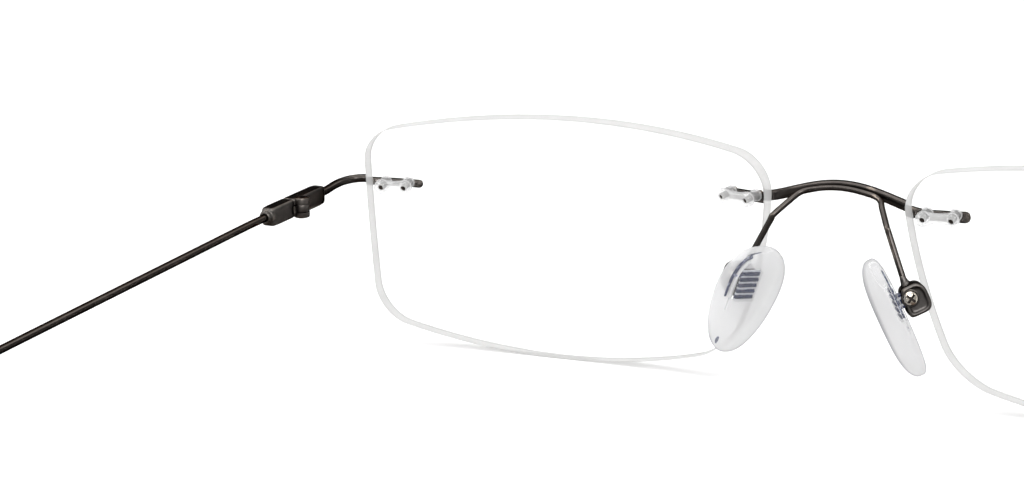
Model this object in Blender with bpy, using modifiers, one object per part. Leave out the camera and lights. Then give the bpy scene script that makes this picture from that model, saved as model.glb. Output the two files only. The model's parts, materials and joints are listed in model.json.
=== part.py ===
# Rimless eyeglasses with wire temples, drilled lenses and adjustable nose pads.
# +Z is up, the front faces -Y, the temples run along +Y and +X is the wearer's left.
# The origin is on the table the pair stands on, on the mid plane, under the middle of
# the pair's length.  Sizes are in millimetres and become metres as objects are made.
# "hand" is +1 for the wearer's left and -1 for the right; sizes are given for the left.
import bpy
import bmesh
import math
from mathutils import Matrix, Vector

MM = 0.001
X, Y, Z = Vector((1, 0, 0)), Vector((0, 1, 0)), Vector((0, 0, 1))

# ---------------------------------------------------------------- lenses
LENS_CENTRE = (38.9, 0.0, 17.4)
LENS_WRAP = 2.75            # degrees, temple edge turned back
LENS_TILT = -1.6            # degrees, top leaning back
LENS_RADIUS = 130.0         # of both surfaces
LENS_THICK = 2.4
LENS_CHAMFER = 0.18
RIM_POINTS = 56
FACE_SCALES = (0.06, 0.42, 0.78)    # inner rings of each lens face, as parts of the outline

# The outline is four long arcs joined by corner rounds, in the lens's own (u, v):
# u grows towards the temple, v grows upwards.
# Arc columns: distance from the centre, lean of its normal (degrees), bow (1000 / radius)
OUTLINE_ARCS = (
    (27.3, -2.0, 6.5),      # temple
    (14.63, -1.65, 7.1),    # top
    (26.5, 24.3, 16.7),     # nose
    (17.3, -1.5, 13.3),     # bottom
)
# Temple-top, nose-top, nose-bottom, temple-bottom
CORNER_ROUNDS = (3.4, 4.7, 3.2, 3.6)

# Hole pairs: u of the hole nearer the lens edge, u of the other, v of both
NOSE_HOLES = (-27.3, -23.75, 7.45)
TEMPLE_HOLES = (25.6, 22.6, 4.36)
HOLE_R = 0.75

# ---------------------------------------------------------------- sleeves and pins
TUBE_R = 0.71
TUBE_BORE_R = 0.44
PIN_R = 0.40
PLATE_GAP = 0.05            # between lens back and plate
PLATE_BACK = LENS_THICK + PLATE_GAP     # depth of the plate's lens side
PLATE_T = 0.75
PLATE_CHAMFER = 0.12
PLATE_POINTS = 28
LOBE_R = 0.92
WAIST_HALF, WAIST_FLARE = 0.52, 0.06    # half width = WAIST_HALF + WAIST_FLARE * x squared
COLLAR_R0, COLLAR_R1 = 0.74, 0.66
COLLAR_SHIFT = 0.3          # collar behind the plate's span
STANDOFF = 0.36             # between lens front and bar or endpiece

# ---------------------------------------------------------------- bridge bar and pad arm
BAR_HALF_H, BAR_HALF_D = 0.68, 0.50
BAR_SQUARENESS = 3.2        # superellipse power of the section
BAR_SECTION_POINTS = 12
BAR_STEPS = 28
BAR_SINE_SHARE = 0.35       # share of sine spacing, which crowds stations at the ends
BAR_END_X = 16.6
BAR_Z = 24.32               # on the lenses
BAR_ARCH_RISE = 2.45
BAR_ARCH_HALF = 11.0
BAR_ARCH_POWER = 0.7
BAR_FREE_X = 9.6            # the bar follows the lens outboard of this
BAR_BOW = 0.25              # share of the lens slope kept at BAR_FREE_X on the free span
BAR_ROUND_LENGTH = 0.7      # rounded end
BAR_TIP_SCALE = 0.3         # section size at the very end

PAD_WIRE_R = 0.40
PAD_WIRE_BEHIND = BAR_HALF_D + PAD_WIRE_R + 0.04    # wire centre behind bar centre
PAD_WIRE_DROP = 0.1         # wire centre below bar centre
PAD_WIRE_STRAIGHT_X = (0.0, 1.6, 3.2, 4.6)          # stations along the back of the bar
PAD_WIRE_LEAVE = (5.5, 0.55, 0.2)                   # x, extra depth, drop: leaving the bar
PAD_WIRE_BEND = (6.15, 4.05, 25.0)
PAD_WIRE_KINK = (7.67, 6.05, 23.33)
PAD_WIRE_RISE = 0.6         # above the wire's end, aimed at from the kink

# ---------------------------------------------------------------- nose pads
# Pad axes: up the pad, towards the nose, and "side" along the screw, back and outwards.
# Pad boxes are given in (nose, up, side) from the pivot on the screw axis.
PAD_UP = Vector((-0.388, 0.096, 0.916))
PAD_SIDE = Vector((0.529, 0.836, 0.145))
PAD_PIVOT = Vector((11.37, 7.87, 15.42))

PAD_HALF_L, PAD_HALF_W = 7.75, 4.3
PAD_DOME = 1.90             # height of the nose face
PAD_RIM_DEPTH = 0.35        # widest ring, away from the nose
PAD_BACK_DEPTH = 1.30       # face away from the nose
PAD_CENTRE = (-1.53, 2.72, 0.78)    # along up, nose and side
PAD_POINTS = 32
PAD_POWER = 2.25            # superellipse power of the outline
PAD_TAPER = 0.21            # share wider at the top, narrower at the bottom
PAD_SHIFT, PAD_SKEW = -0.3, -0.30   # outline moved along side: fixed, and growing upwards
PAD_DOME_SCALES = (0.12, 0.5, 0.8, 0.96)
PAD_BACK_SCALES = (0.97, 0.85, 0.5, 0.12)

BOX_N0, BOX_N1 = -2.15, 1.0             # along nose
BOX_UP0, BOX_UP1 = -2.4, 1.5
BOX_HALF_T = 1.45
BOX_BEVEL = 0.5
CAVITY_N0, CAVITY_HALF_T = -1.35, 1.0
CAVITY_FLOOR, CAVITY_ROOF = 0.5, 0.45   # wall left below and above
INSERT_N0, INSERT_N1 = 1.48, 2.12
INSERT_HALF_L, INSERT_HALF_T = 2.2, 1.3
INSERT_BEVEL = 0.12
POCKET_GAP = 0.06
POCKET_N0 = 0.7
TANG_N0, TANG_N1, TANG_HALF = -0.80, 2.0, 0.85

PAD_SCREW_R = 0.50
PAD_SCREW_TIP_R = 0.38
PAD_HEAD_R = 0.95
PAD_HEAD_BASE = BOX_HALF_T + 0.03
PAD_HEAD_TOP = PAD_HEAD_BASE + 0.46
SCREW_GAP = 0.03            # around both kinds of screw
SLOT_HALF_W = 0.11          # driver slots
PAD_SLOT_HALF_L, PAD_SLOT_DEPTH = 0.55, 0.24

# ---------------------------------------------------------------- endpieces and hinges
END_R = 0.54                # endpiece wire
TEMPLE_R = 0.50
WIRE_GAP = 0.04             # around wires in the blocks
HINGE_X, HINGE_Y = 68.8, 18.15
BLOCK_X0, BLOCK_X1 = 69.05, 70.95
BLOCK_Z0, BLOCK_Z1 = 19.92, 22.40
FRONT_Y0, FRONT_Y1 = 11.70, 19.40
REAR_Y0, REAR_Y1 = 19.45, 24.65
BLOCK_BEVEL = 0.32
KNUCKLE_R = 1.0
KNUCKLE_Z0 = 19.75
HINGE_MID_Z = (KNUCKLE_Z0 + BLOCK_Z1) / 2
SLOT_Z0, SLOT_Z1 = 20.50, 21.60         # front block slot that takes the temple knuckle
SLOT_X = (-1.6, 1.05)                   # its spans from the hinge axis
SLOT_Y = (-1.08, 1.6)
TONGUE_X, TONGUE_Y = 0.93, 1.9          # tongue reach from the hinge axis
TONGUE_GAP = 0.05
WIRE_X = (BLOCK_X0 + BLOCK_X1) / 2
WIRE_Z = 21.22
END_WIRE_Y = 14.4                       # end of the endpiece wire in the front block
END_HOLE_Y = 14.5
TEMPLE_HOLE_Y = 21.6                    # bottom of the temple wire's hole

HINGE_SCREW_R = 0.45
HINGE_TIP_R = 0.34
HINGE_HEAD_R = 0.76
HINGE_HEAD_T = 0.36
SEAT_R, SEAT_DEPTH = 0.80, 0.40

# Endpiece centre line: (u, v) in front of the lens, then (x, y, z) into the front block
END_ON_LENS = ((21.45, 3.97), (23.2, 4.05), (25.0, 4.12), (26.5, 4.15))
END_TO_BLOCK = (
    (67.55, 4.55, 21.74), (68.75, 5.25, 21.70), (69.62, 6.55, 21.60),
    (69.95, 8.2, 21.45), (WIRE_X, 10.6, WIRE_Z), (WIRE_X, END_WIRE_Y, WIRE_Z),
)
# Rounded start of the wire: distance beyond the first point, radius as a part of END_R
END_NOSE = ((0.30, 0.55), (0.2, 0.85))

# ---------------------------------------------------------------- temples
TEMPLE_START = ((WIRE_X, 21.7, WIRE_Z), (WIRE_X, 26.0, WIRE_Z), (WIRE_X, 30.0, WIRE_Z - 0.05))
TEMPLE_STATIONS = (45, 60, 75, 90, *range(96, 121, 5))      # y along the sloping run
SLOPE_START_Y = 28.0
TEMPLE_SLOPE = 0.0265       # fall per length towards the ear
EAR_BEND_Y = 121.0
EAR_BEND_R = 22.0
EAR_BEND_STEPS = 8
EAR_DROP = 38.0             # degrees
DROP_STEPS = 6
TABLE_GAP = 0.02            # path end above the table, besides the tip's radius
INWARD_START_Y = 98.0
TIP_INWARD = 3.2            # total drift towards the mid plane
TIP_FRONT_Y = INWARD_START_Y - 3.0      # the tip starts at the first path point past this
TIP_START_R, TIP_END_R = 0.95, 1.35
TIP_GROWTH_SHARE, TIP_GROWTH_POWER = 0.55, 0.9
TIP_FLATNESS = 0.86         # width over height
TIP_BORE_R = 0.57
TIP_SEGMENTS = 12
# Rounded end of the tip: distance past the path, scale of the section
TIP_CAP = ((0.55, 0.9), (0.95, 0.62), (1.1, 0.3))

LENGTH_MIDDLE = 75.67       # y of the middle of the length, from the lens centres

# ---------------------------------------------------------------- scene and materials
for ob in list(bpy.data.objects):
    bpy.data.objects.remove(ob, do_unlink=True)
for coll in list(bpy.data.collections):
    bpy.data.collections.remove(coll)

parts = bpy.data.collections.new("eyeglasses")
cutters = bpy.data.collections.new("cutters")
bpy.context.scene.collection.children.link(parts)
bpy.context.scene.collection.children.link(cutters)


def material(name, colour, metallic, roughness, alpha=1.0, transmission=0.0):
    mat = bpy.data.materials.new(name)
    mat.use_nodes = True
    inputs = mat.node_tree.nodes["Principled BSDF"].inputs
    inputs["Base Color"].default_value = (*colour, 1.0)
    inputs["Metallic"].default_value = metallic
    inputs["Roughness"].default_value = roughness
    inputs["Alpha"].default_value = alpha
    inputs["Transmission Weight"].default_value = transmission
    return mat


GUNMETAL = material("gunmetal", colour=(0.045, 0.037, 0.032), metallic=1.0, roughness=0.36)
GUNMETAL_BLOCK = material("gunmetal_block", colour=(0.040, 0.036, 0.034),
                          metallic=1.0, roughness=0.42)
LENS_CLEAR = material("lens_clear", colour=(0.93, 0.95, 0.95), metallic=0.0,
                      roughness=0.05, alpha=0.35, transmission=0.9)
SLEEVE_CLEAR = material("sleeve_clear", colour=(0.90, 0.90, 0.90), metallic=0.0,
                        roughness=0.15, alpha=0.7, transmission=0.7)
PAD_CLEAR = material("pad_clear", colour=(0.86, 0.86, 0.88), metallic=0.0,
                     roughness=0.2, alpha=0.6, transmission=0.7)
INSERT_METAL = material("pad_insert_metal", colour=(0.16, 0.19, 0.27),
                        metallic=1.0, roughness=0.3)
NICKEL = material("nickel", colour=(0.72, 0.68, 0.60), metallic=1.0, roughness=0.22)
TIP_DARK = material("temple_tip_dark", colour=(0.035, 0.032, 0.030),
                    metallic=0.0, roughness=0.45)


# ---------------------------------------------------------------- general helpers
def side_name(hand):
    return "left" if hand > 0 else "right"


def sided(point, hand):
    return Vector((point[0] * hand, point[1], point[2]))


def bisect(low, high, steps, is_below):
    """Largest value found for which is_below still holds."""
    for _ in range(steps):
        mid = (low + high) / 2
        if is_below(mid):
            low = mid
        else:
            high = mid
    return low


def superellipse(angle, power):
    c, s = math.cos(angle), math.sin(angle)
    k = (abs(c) ** power + abs(s) ** power) ** (-1 / power)
    return c * k, s * k


def make_object(name, bm, origin, mat=None, smooth=35.0):
    """Object from a bmesh in world millimetres; without a material it is a hidden helper."""
    bmesh.ops.recalc_face_normals(bm, faces=bm.faces)
    if bm.calc_volume(signed=True) < 0:
        bmesh.ops.reverse_faces(bm, faces=bm.faces)
    origin = Vector(origin)
    for v in bm.verts:
        v.co = (v.co - origin) * MM
    me = bpy.data.meshes.new(name)
    bm.to_mesh(me)
    bm.free()
    if mat is not None:
        me.materials.append(mat)
    me.shade_smooth()
    me.set_sharp_from_angle(angle=math.radians(smooth))
    ob = bpy.data.objects.new(name, me)
    ob.location = origin * MM
    if mat is not None:
        parts.objects.link(ob)
    else:
        cutters.objects.link(ob)
        ob.hide_render = True
        ob.display_type = "WIRE"
    return ob


def boolean(ob, name, bm, origin, operation):
    tool = make_object(name, bm, origin)
    mod = ob.modifiers.new(tool.name, "BOOLEAN")
    mod.operation = operation
    mod.object = tool
    mod.solver = "EXACT"


def cut(ob, name, bm, origin):
    boolean(ob, name, bm, origin, "DIFFERENCE")


def add(ob, name, bm, origin):
    boolean(ob, name, bm, origin, "UNION")


def bevel(ob, width, segments):
    mod = ob.modifiers.new("bevel", "BEVEL")
    mod.width = width * MM
    mod.segments = segments
    mod.limit_method = "ANGLE"
    mod.angle_limit = math.radians(40.0)


def frame(origin, axis):
    """Matrix at origin with its Z along axis and its X as near world X as it can be."""
    z = Vector(axis).normalized()
    x = (X - z * X.dot(z)).normalized()
    m = Matrix((x, z.cross(x), z)).transposed().to_4x4()
    m.translation = Vector(origin)
    return m


def cylinder(start, end, radius, segments, end_radius=None):
    bm = bmesh.new()
    bmesh.ops.create_cone(bm, cap_ends=True, segments=segments, radius1=radius,
                          radius2=radius if end_radius is None else end_radius,
                          depth=(end - start).length,
                          matrix=frame((start + end) / 2, end - start))
    return bm


def box(origin, axes, low, high):
    """Box spanning low..high along three perpendicular axes from origin."""
    bm = bmesh.new()
    bmesh.ops.create_cube(bm, size=1.0)
    for v in bm.verts:
        along = [low[i] + (v.co[i] + 0.5) * (high[i] - low[i]) for i in range(3)]
        v.co = origin + axes[0] * along[0] + axes[1] * along[1] + axes[2] * along[2]
    return bm


def skin(rings):
    """Closed skin through equal rings of points, with a single face at each end."""
    bm = bmesh.new()
    rows = [[bm.verts.new(p) for p in ring] for ring in rings]
    n = len(rows[0])
    for a, b in zip(rows, rows[1:]):
        for i in range(n):
            j = (i + 1) % n
            bm.faces.new((a[i], a[j], b[j], b[i]))
    bm.faces.new(rows[0])
    bm.faces.new(list(reversed(rows[-1])))
    return bm


def catmull(points, steps):
    """Smooth path through the points, with this many steps between neighbours."""
    p = [points[0] * 2 - points[1]] + points + [points[-1] * 2 - points[-2]]
    out = []
    for i in range(1, len(p) - 2):
        a, b, c, d = p[i - 1:i + 3]
        for k in range(steps):
            t = k / steps
            out.append(0.5 * ((2 * b) + (c - a) * t + (2 * a - 5 * b + 4 * c - d) * t * t
                              + (3 * b - a - 3 * c + d) * t ** 3))
    out.append(p[-2])
    return out


def path_frames(points):
    """Each point with its tangent, the level direction across it, and its up."""
    out = []
    for i, p in enumerate(points):
        before = points[max(i - 1, 0)]
        after = points[min(i + 1, len(points) - 1)]
        tangent = (after - before).normalized()
        side = tangent.cross(Z).normalized()
        out.append((p, tangent, side, side.cross(tangent).normalized()))
    return out


def wire(name, points, radius, origin, resolution=2, scales=None):
    """Round gunmetal wire: a bevelled poly curve with filled caps, turned into a mesh."""
    curve = bpy.data.curves.new(name + "_path", "CURVE")
    curve.dimensions = "3D"
    curve.bevel_depth = radius * MM
    curve.bevel_resolution = resolution
    curve.use_fill_caps = True
    curve.resolution_u = 1
    spline = curve.splines.new("POLY")
    spline.points.add(len(points) - 1)
    for i, p in enumerate(points):
        spline.points[i].co = (p[0] * MM, p[1] * MM, p[2] * MM, 1.0)
        spline.points[i].radius = scales[i] if scales else 1.0
    path = bpy.data.objects.new(name + "_path", curve)
    parts.objects.link(path)
    bpy.context.view_layer.update()
    depsgraph = bpy.context.evaluated_depsgraph_get()
    me = bpy.data.meshes.new_from_object(path.evaluated_get(depsgraph))
    bpy.data.objects.remove(path, do_unlink=True)
    bm = bmesh.new()
    bm.from_mesh(me)
    bpy.data.meshes.remove(me)
    # The caps come unjoined from the tube
    bmesh.ops.remove_doubles(bm, verts=bm.verts, dist=0.00001)
    for v in bm.verts:
        v.co = v.co / MM
    return make_object(name, bm, origin, GUNMETAL, smooth=50.0)


def turned(name, profile, mat, origin, axis):
    """(radius, height) profile from top to bottom, spun about axis by a Screw modifier."""
    me = bpy.data.meshes.new(name)
    me.from_pydata([(r * MM, 0, h * MM) for (r, h) in profile],
                   [(i, i + 1) for i in range(len(profile) - 1)], [])
    me.materials.append(mat)
    ob = bpy.data.objects.new(name, me)
    parts.objects.link(ob)
    ob.matrix_world = frame(origin * MM, axis)
    mod = ob.modifiers.new("spin", "SCREW")
    mod.axis = "Z"
    mod.steps = mod.render_steps = 20
    mod.use_merge_vertices = True
    mod.merge_threshold = 0.00001
    mod.use_smooth_shade = True
    return ob


# ---------------------------------------------------------------- lens geometry
def outline_gap(u, v):
    """Negative inside the lens outline, positive outside."""
    gaps = []
    for turn, (dist, lean, bow) in zip((0, 90, 180, 270), OUTLINE_ARCS):
        a = math.radians(turn + lean)
        nu, nv = math.cos(a), math.sin(a)
        r = 1000.0 / bow
        du, dv = u - nu * dist, v - nv * dist
        gaps.append(math.hypot(du * nu + dv * nv + r, -du * nv + dv * nu) - r)
    gap = max(gaps)
    for i, r in enumerate(CORNER_ROUNDS):
        a, b = gaps[i], gaps[(i + 1) % 4]
        if a > -r and b > -r:
            gap = max(gap, math.hypot(a + r, b + r) - r)
    return gap


def outline_point(angle):
    c, s = math.cos(angle), math.sin(angle)
    r = bisect(5.0, 40.0, 40, lambda r: outline_gap(r * c, r * s) < 0)
    return r * c, r * s


def even_outline(count):
    """Outline points that share its length evenly."""
    fine = [2 * math.pi * i / 720 for i in range(721)]
    points = [outline_point(a) for a in fine]
    run = [0.0]
    for (u0, v0), (u1, v1) in zip(points, points[1:]):
        run.append(run[-1] + math.hypot(u1 - u0, v1 - v0))
    out, k = [], 0
    for i in range(count):
        want = run[-1] * i / count
        while run[k + 1] < want:
            k += 1
        f = (want - run[k]) / (run[k + 1] - run[k])
        out.append(outline_point(fine[k] + f * (fine[k + 1] - fine[k])))
    return out


def lens_centre_depth(u, v):
    """Depth of the lens radius left at (u, v)."""
    return math.sqrt(LENS_RADIUS ** 2 - u * u - v * v)


def lens_sag(u, v):
    return LENS_RADIUS - lens_centre_depth(u, v)


def lens_matrix(hand):
    return (Matrix.Translation(sided(LENS_CENTRE, hand))
            @ Matrix.Rotation(math.radians(LENS_WRAP) * hand, 4, "Z")
            @ Matrix.Rotation(math.radians(LENS_TILT), 4, "X"))


def lens_normal_local(u, v):
    """Normal of the front surface, pointing back."""
    return Vector((-u, lens_centre_depth(u, v), -v)) / LENS_RADIUS


def lens_normal(hand, u, v):
    normal = sided(lens_normal_local(u, v), hand)
    return (lens_matrix(hand).to_3x3() @ normal).normalized()


def on_lens(hand, u, v, depth=0.0):
    """World point at a depth behind the lens front surface, along its normal."""
    point = Vector((u, lens_sag(u, v), v)) + lens_normal_local(u, v) * depth
    return lens_matrix(hand) @ sided(point, hand)


def hole_pair(hand, holes):
    """Front ends of a pair of holes, and their shared direction, pointing back."""
    u0, u1, v = holes
    normal = lens_normal(hand, (u0 + u1) / 2, v)
    return [on_lens(hand, u0, v), on_lens(hand, u1, v)], normal


def build_lens(hand, rim):
    name = "lens_" + side_name(hand)
    matrix = lens_matrix(hand)

    def ring(scale, inset, depth):
        points = []
        for (u, v) in rim:
            r = math.hypot(u, v)
            k = scale * (r - inset) / r
            uu, vv = u * k, v * k
            points.append(matrix @ Vector((uu * hand, lens_sag(uu, vv) + depth, vv)))
        return points

    rings = [ring(scale, 0, 0.0) for scale in FACE_SCALES]
    rings += [ring(1, LENS_CHAMFER, 0.0), ring(1, 0, LENS_CHAMFER),
              ring(1, 0, LENS_THICK - LENS_CHAMFER), ring(1, LENS_CHAMFER, LENS_THICK)]
    rings += [ring(scale, 0, LENS_THICK) for scale in reversed(FACE_SCALES)]
    ob = make_object(name, skin(rings), sided(LENS_CENTRE, hand), LENS_CLEAR, smooth=30)
    for k, holes in enumerate((NOSE_HOLES, TEMPLE_HOLES)):
        points, normal = hole_pair(hand, holes)
        for j, p in enumerate(points):
            drill = cylinder(p - normal * 1.5, p + normal * (LENS_THICK + 1.5), HOLE_R, 16)
            cut(ob, f"cut_{name}_{k}{j}", drill, p)


# ---------------------------------------------------------------- sleeves and pins
def plate_outline(half):
    """Figure of eight whose lobe centres are at x = -half and half."""
    outline = []
    for i in range(PLATE_POINTS):
        a = 2 * math.pi * i / PLATE_POINTS
        c, s = math.cos(a), math.sin(a)

        def inside(r):
            x, y = r * c, r * s
            return min(math.hypot(x - half, y) - LOBE_R, math.hypot(x + half, y) - LOBE_R,
                       max(abs(x) - half, abs(y) - (WAIST_HALF + WAIST_FLARE * x * x))) < 0

        r = bisect(0.2, half + LOBE_R + 0.5, 30, inside)
        outline.append((r * c, r * s))
    return outline


def build_sleeve(hand, holes, place):
    """Twin plug: a figure-of-eight plate behind the lens with two tubes through it."""
    name = f"sleeve_{place}_" + side_name(hand)
    points, normal = hole_pair(hand, holes)
    mid = (points[0] + points[1]) / 2
    along = (points[1] - points[0]).normalized()
    across = normal.cross(along).normalized()
    outline = plate_outline((points[1] - points[0]).length / 2)
    plate_end = PLATE_BACK + PLATE_T
    rings = []
    for inset, depth in ((0.0, PLATE_BACK), (0.0, plate_end - PLATE_CHAMFER),
                         (PLATE_CHAMFER, plate_end)):
        ring = []
        for (x, y) in outline:
            r = math.hypot(x, y)
            k = (r - inset) / r
            ring.append(mid + along * x * k + across * y * k + normal * depth)
        rings.append(ring)
    ob = make_object(name, skin(rings), mid + normal * PLATE_BACK, SLEEVE_CLEAR, smooth=40)
    for j, p in enumerate(points):
        tube = cylinder(p - normal * (STANDOFF - 0.04), p + normal * (PLATE_BACK + 0.4),
                        TUBE_R, 16)
        add(ob, f"add_{name}_tube{j}", tube, p)
        collar = cylinder(p + normal * (PLATE_BACK + COLLAR_SHIFT),
                          p + normal * (plate_end + COLLAR_SHIFT), COLLAR_R0, 16, COLLAR_R1)
        add(ob, f"add_{name}_collar{j}", collar, p)
    for j, p in enumerate(points):
        bore = cylinder(p - normal * 2.0, p + normal * (plate_end + 1.0), TUBE_BORE_R, 14)
        cut(ob, f"cut_{name}_bore{j}", bore, p)


def add_pins(ob, hand, holes, prefix):
    """Joins the two pins that run back through the sleeve tubes."""
    points, normal = hole_pair(hand, holes)
    for j, p in enumerate(points):
        pin = cylinder(p - normal * (STANDOFF + 0.55),
                       p + normal * (LENS_THICK + PLATE_T + 0.2), PIN_R, 14)
        add(ob, f"{prefix}{j}", pin, p)


# ---------------------------------------------------------------- bridge
def bar_height(x):
    t = min(abs(x) / BAR_ARCH_HALF, 1.0)
    return BAR_Z + BAR_ARCH_RISE * (0.5 + 0.5 * math.cos(math.pi * t)) ** BAR_ARCH_POWER


def bar_depth_on_lens(x):
    """Y of a bar centre that keeps its standoff from the lens front."""
    def centre(u):
        return on_lens(1, u, BAR_Z - LENS_CENTRE[2], -(STANDOFF + BAR_HALF_D))

    return centre(bisect(-38.0, -10.0, 40, lambda u: centre(u).x < x)).y


def bar_depth(x):
    """Y of the bar's centre: along the lens front outboard, a gentle bow between."""
    edge = BAR_FREE_X
    x = abs(x)
    if x >= edge:
        return bar_depth_on_lens(x)
    edge_y = bar_depth_on_lens(edge)
    slope = (bar_depth_on_lens(edge + 0.2) - edge_y) / 0.2
    return edge_y - slope * BAR_BOW * (edge * edge - x * x) / (2 * edge)


def build_bridge_bar():
    centres = []
    for i in range(BAR_STEPS + 1):
        t = 2 * i / BAR_STEPS - 1
        x = (BAR_END_X * math.sin(0.5 * math.pi * t) * BAR_SINE_SHARE
             + BAR_END_X * t * (1 - BAR_SINE_SHARE))
        centres.append(Vector((x, bar_depth(x), bar_height(x))))
    n = BAR_SECTION_POINTS
    section = [superellipse(2 * math.pi * (i + 0.5) / n, BAR_SQUARENESS) for i in range(n)]
    rings = []
    for (p, _, side, up) in path_frames(centres):
        t = min((BAR_END_X - abs(p.x)) / BAR_ROUND_LENGTH, 1.0)
        k = math.sqrt(max(1 - (1 - t) ** 2, 0.0)) * (1 - BAR_TIP_SCALE) + BAR_TIP_SCALE
        rings.append([p + side * w * BAR_HALF_D * k + up * h * BAR_HALF_H * k
                      for (w, h) in section])
    ob = make_object("bridge_bar", skin(rings), (0, bar_depth(0), bar_height(0)),
                     GUNMETAL, smooth=50)
    for hand in (1, -1):
        add_pins(ob, hand, NOSE_HOLES, f"add_bridge_pin_{hand}_")


def build_pad_arm_wire():
    """One wire: along the back of the arch, a kink each side, down to each pad box."""
    half = [Vector((x, bar_depth(x) + PAD_WIRE_BEHIND, bar_height(x) - PAD_WIRE_DROP))
            for x in PAD_WIRE_STRAIGHT_X]
    x, back, drop = PAD_WIRE_LEAVE
    half.append(Vector((x, bar_depth(x) + PAD_WIRE_BEHIND + back, bar_height(x) - drop)))
    kink = Vector(PAD_WIRE_KINK)
    up, nose, side, pivot = pad_axes(1)
    end = pivot + up * (BOX_UP1 + 0.05) + nose * -0.25 + side * -0.35
    above = end + up * PAD_WIRE_RISE
    half += [Vector(PAD_WIRE_BEND), kink, kink.lerp(above, 0.12), kink.lerp(above, 0.8),
             end + up * 0.4, end]
    right = [sided(p, -1) for p in reversed(half[1:])]
    wire("pad_arm_wire", catmull(right + half, 3), PAD_WIRE_R, half[0], resolution=1)


# ---------------------------------------------------------------- nose pads
def pad_axes(hand):
    """Up, nose and side directions of a pad, and its pivot."""
    up = PAD_UP.normalized()
    side = (PAD_SIDE - up * PAD_SIDE.dot(up)).normalized()
    nose = up.cross(side).normalized()
    return [sided(v, hand) for v in (up, nose, side, PAD_PIVOT)]


def pad_block(hand, low, high):
    """Box given in (nose, up, side) from the pivot."""
    up, nose, side, pivot = pad_axes(hand)
    return box(pivot, (nose, up, side), low, high)


def cut_pad_bore(ob, hand):
    """Hole for the pad screw."""
    _, _, side, pivot = pad_axes(hand)
    bore = cylinder(pivot - side * 3, pivot + side * 3, PAD_SCREW_R + SCREW_GAP, 16)
    cut(ob, f"cut_{ob.name}_bore", bore, pivot)


def build_pad_box(hand):
    name = "pad_box_" + side_name(hand)
    pivot = sided(PAD_PIVOT, hand)
    body = pad_block(hand, (BOX_N0, BOX_UP0, -BOX_HALF_T), (BOX_N1, BOX_UP1, BOX_HALF_T))
    ob = make_object(name, body, pivot, GUNMETAL_BLOCK)
    bevel(ob, BOX_BEVEL, 3)
    # The cavity is open towards the nose
    cavity = pad_block(hand, (CAVITY_N0, BOX_UP0 + CAVITY_FLOOR, -CAVITY_HALF_T),
                       (BOX_N1 + 1, BOX_UP1 - CAVITY_ROOF, CAVITY_HALF_T))
    cut(ob, "cut_" + name, cavity, pivot)
    cut_pad_bore(ob, hand)


def build_pad_screw(hand):
    """Domed screw with a cross slot."""
    name = "pad_screw_" + side_name(hand)
    up, nose, side, pivot = pad_axes(hand)
    profile = (
        (0, PAD_HEAD_TOP), (0.45, PAD_HEAD_BASE + 0.42), (0.80, PAD_HEAD_BASE + 0.26),
        (PAD_HEAD_R, PAD_HEAD_BASE), (PAD_SCREW_R, PAD_HEAD_BASE),
        (PAD_SCREW_R, -BOX_HALF_T - 0.1), (PAD_SCREW_TIP_R, -BOX_HALF_T - 0.22),
        (0, -BOX_HALF_T - 0.22),
    )
    ob = turned(name, profile, NICKEL, pivot, side)
    top = pivot + side * PAD_HEAD_TOP
    rising, falling = (up + nose).normalized(), (up - nose).normalized()
    for k, (along, across) in enumerate(((rising, falling), (falling, rising))):
        slot = box(top, (along, across, side),
                   (-PAD_SLOT_HALF_L, -SLOT_HALF_W, -PAD_SLOT_DEPTH),
                   (PAD_SLOT_HALF_L, SLOT_HALF_W, 0.5))
        cut(ob, f"cut_{name}_{k}", slot, top)


def pad_outline():
    """Points (along up, along side), wider towards the top."""
    out = []
    for i in range(PAD_POINTS):
        x, y = superellipse(2 * math.pi * i / PAD_POINTS, PAD_POWER)
        out.append((y * PAD_HALF_L,
                    x * PAD_HALF_W * (1 + PAD_TAPER * y) + PAD_SHIFT + PAD_SKEW * y))
    return out


def build_nose_pad(hand):
    name = "nose_pad_" + side_name(hand)
    up, nose, side, pivot = pad_axes(hand)
    centre_up, centre_nose, centre_side = PAD_CENTRE
    # Rings: scale of the outline, height towards the nose
    rows = [(k, PAD_DOME * (1 - k ** 3.6) ** (1 / 2.0)) for k in PAD_DOME_SCALES]
    rows.append((1.0, -PAD_RIM_DEPTH))
    rows += [(k, -PAD_RIM_DEPTH - (PAD_BACK_DEPTH - PAD_RIM_DEPTH) * (1 - k ** 6) ** (1 / 2.5))
             for k in PAD_BACK_SCALES]
    rings = [[pivot + up * (centre_up + a * k) + nose * (centre_nose + height)
              + side * (centre_side + t * k) for (a, t) in pad_outline()]
             for (k, height) in rows]
    ob = make_object(name, skin(rings), pivot, PAD_CLEAR, smooth=60)
    half_l, half_t = INSERT_HALF_L + POCKET_GAP, INSERT_HALF_T + POCKET_GAP
    pocket = pad_block(hand, (POCKET_N0, -half_l, -half_t),
                       (INSERT_N1 + POCKET_GAP, half_l, half_t))
    cut(ob, "cut_" + name, pocket, pivot)
    return ob


def build_insert(hand):
    """Plate in the pad's pocket, with a tang reaching into the pad box."""
    name = "nose_pad_insert_" + side_name(hand)
    pivot = sided(PAD_PIVOT, hand)
    plate = pad_block(hand, (INSERT_N0, -INSERT_HALF_L, -INSERT_HALF_T),
                      (INSERT_N1, INSERT_HALF_L, INSERT_HALF_T))
    ob = make_object(name, plate, pivot, INSERT_METAL)
    bevel(ob, INSERT_BEVEL, 1)
    tang = pad_block(hand, (TANG_N0, -TANG_HALF, -TANG_HALF), (TANG_N1, TANG_HALF, TANG_HALF))
    add(ob, "add_" + name, tang, pivot)
    cut_pad_bore(ob, hand)
    return ob


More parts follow.
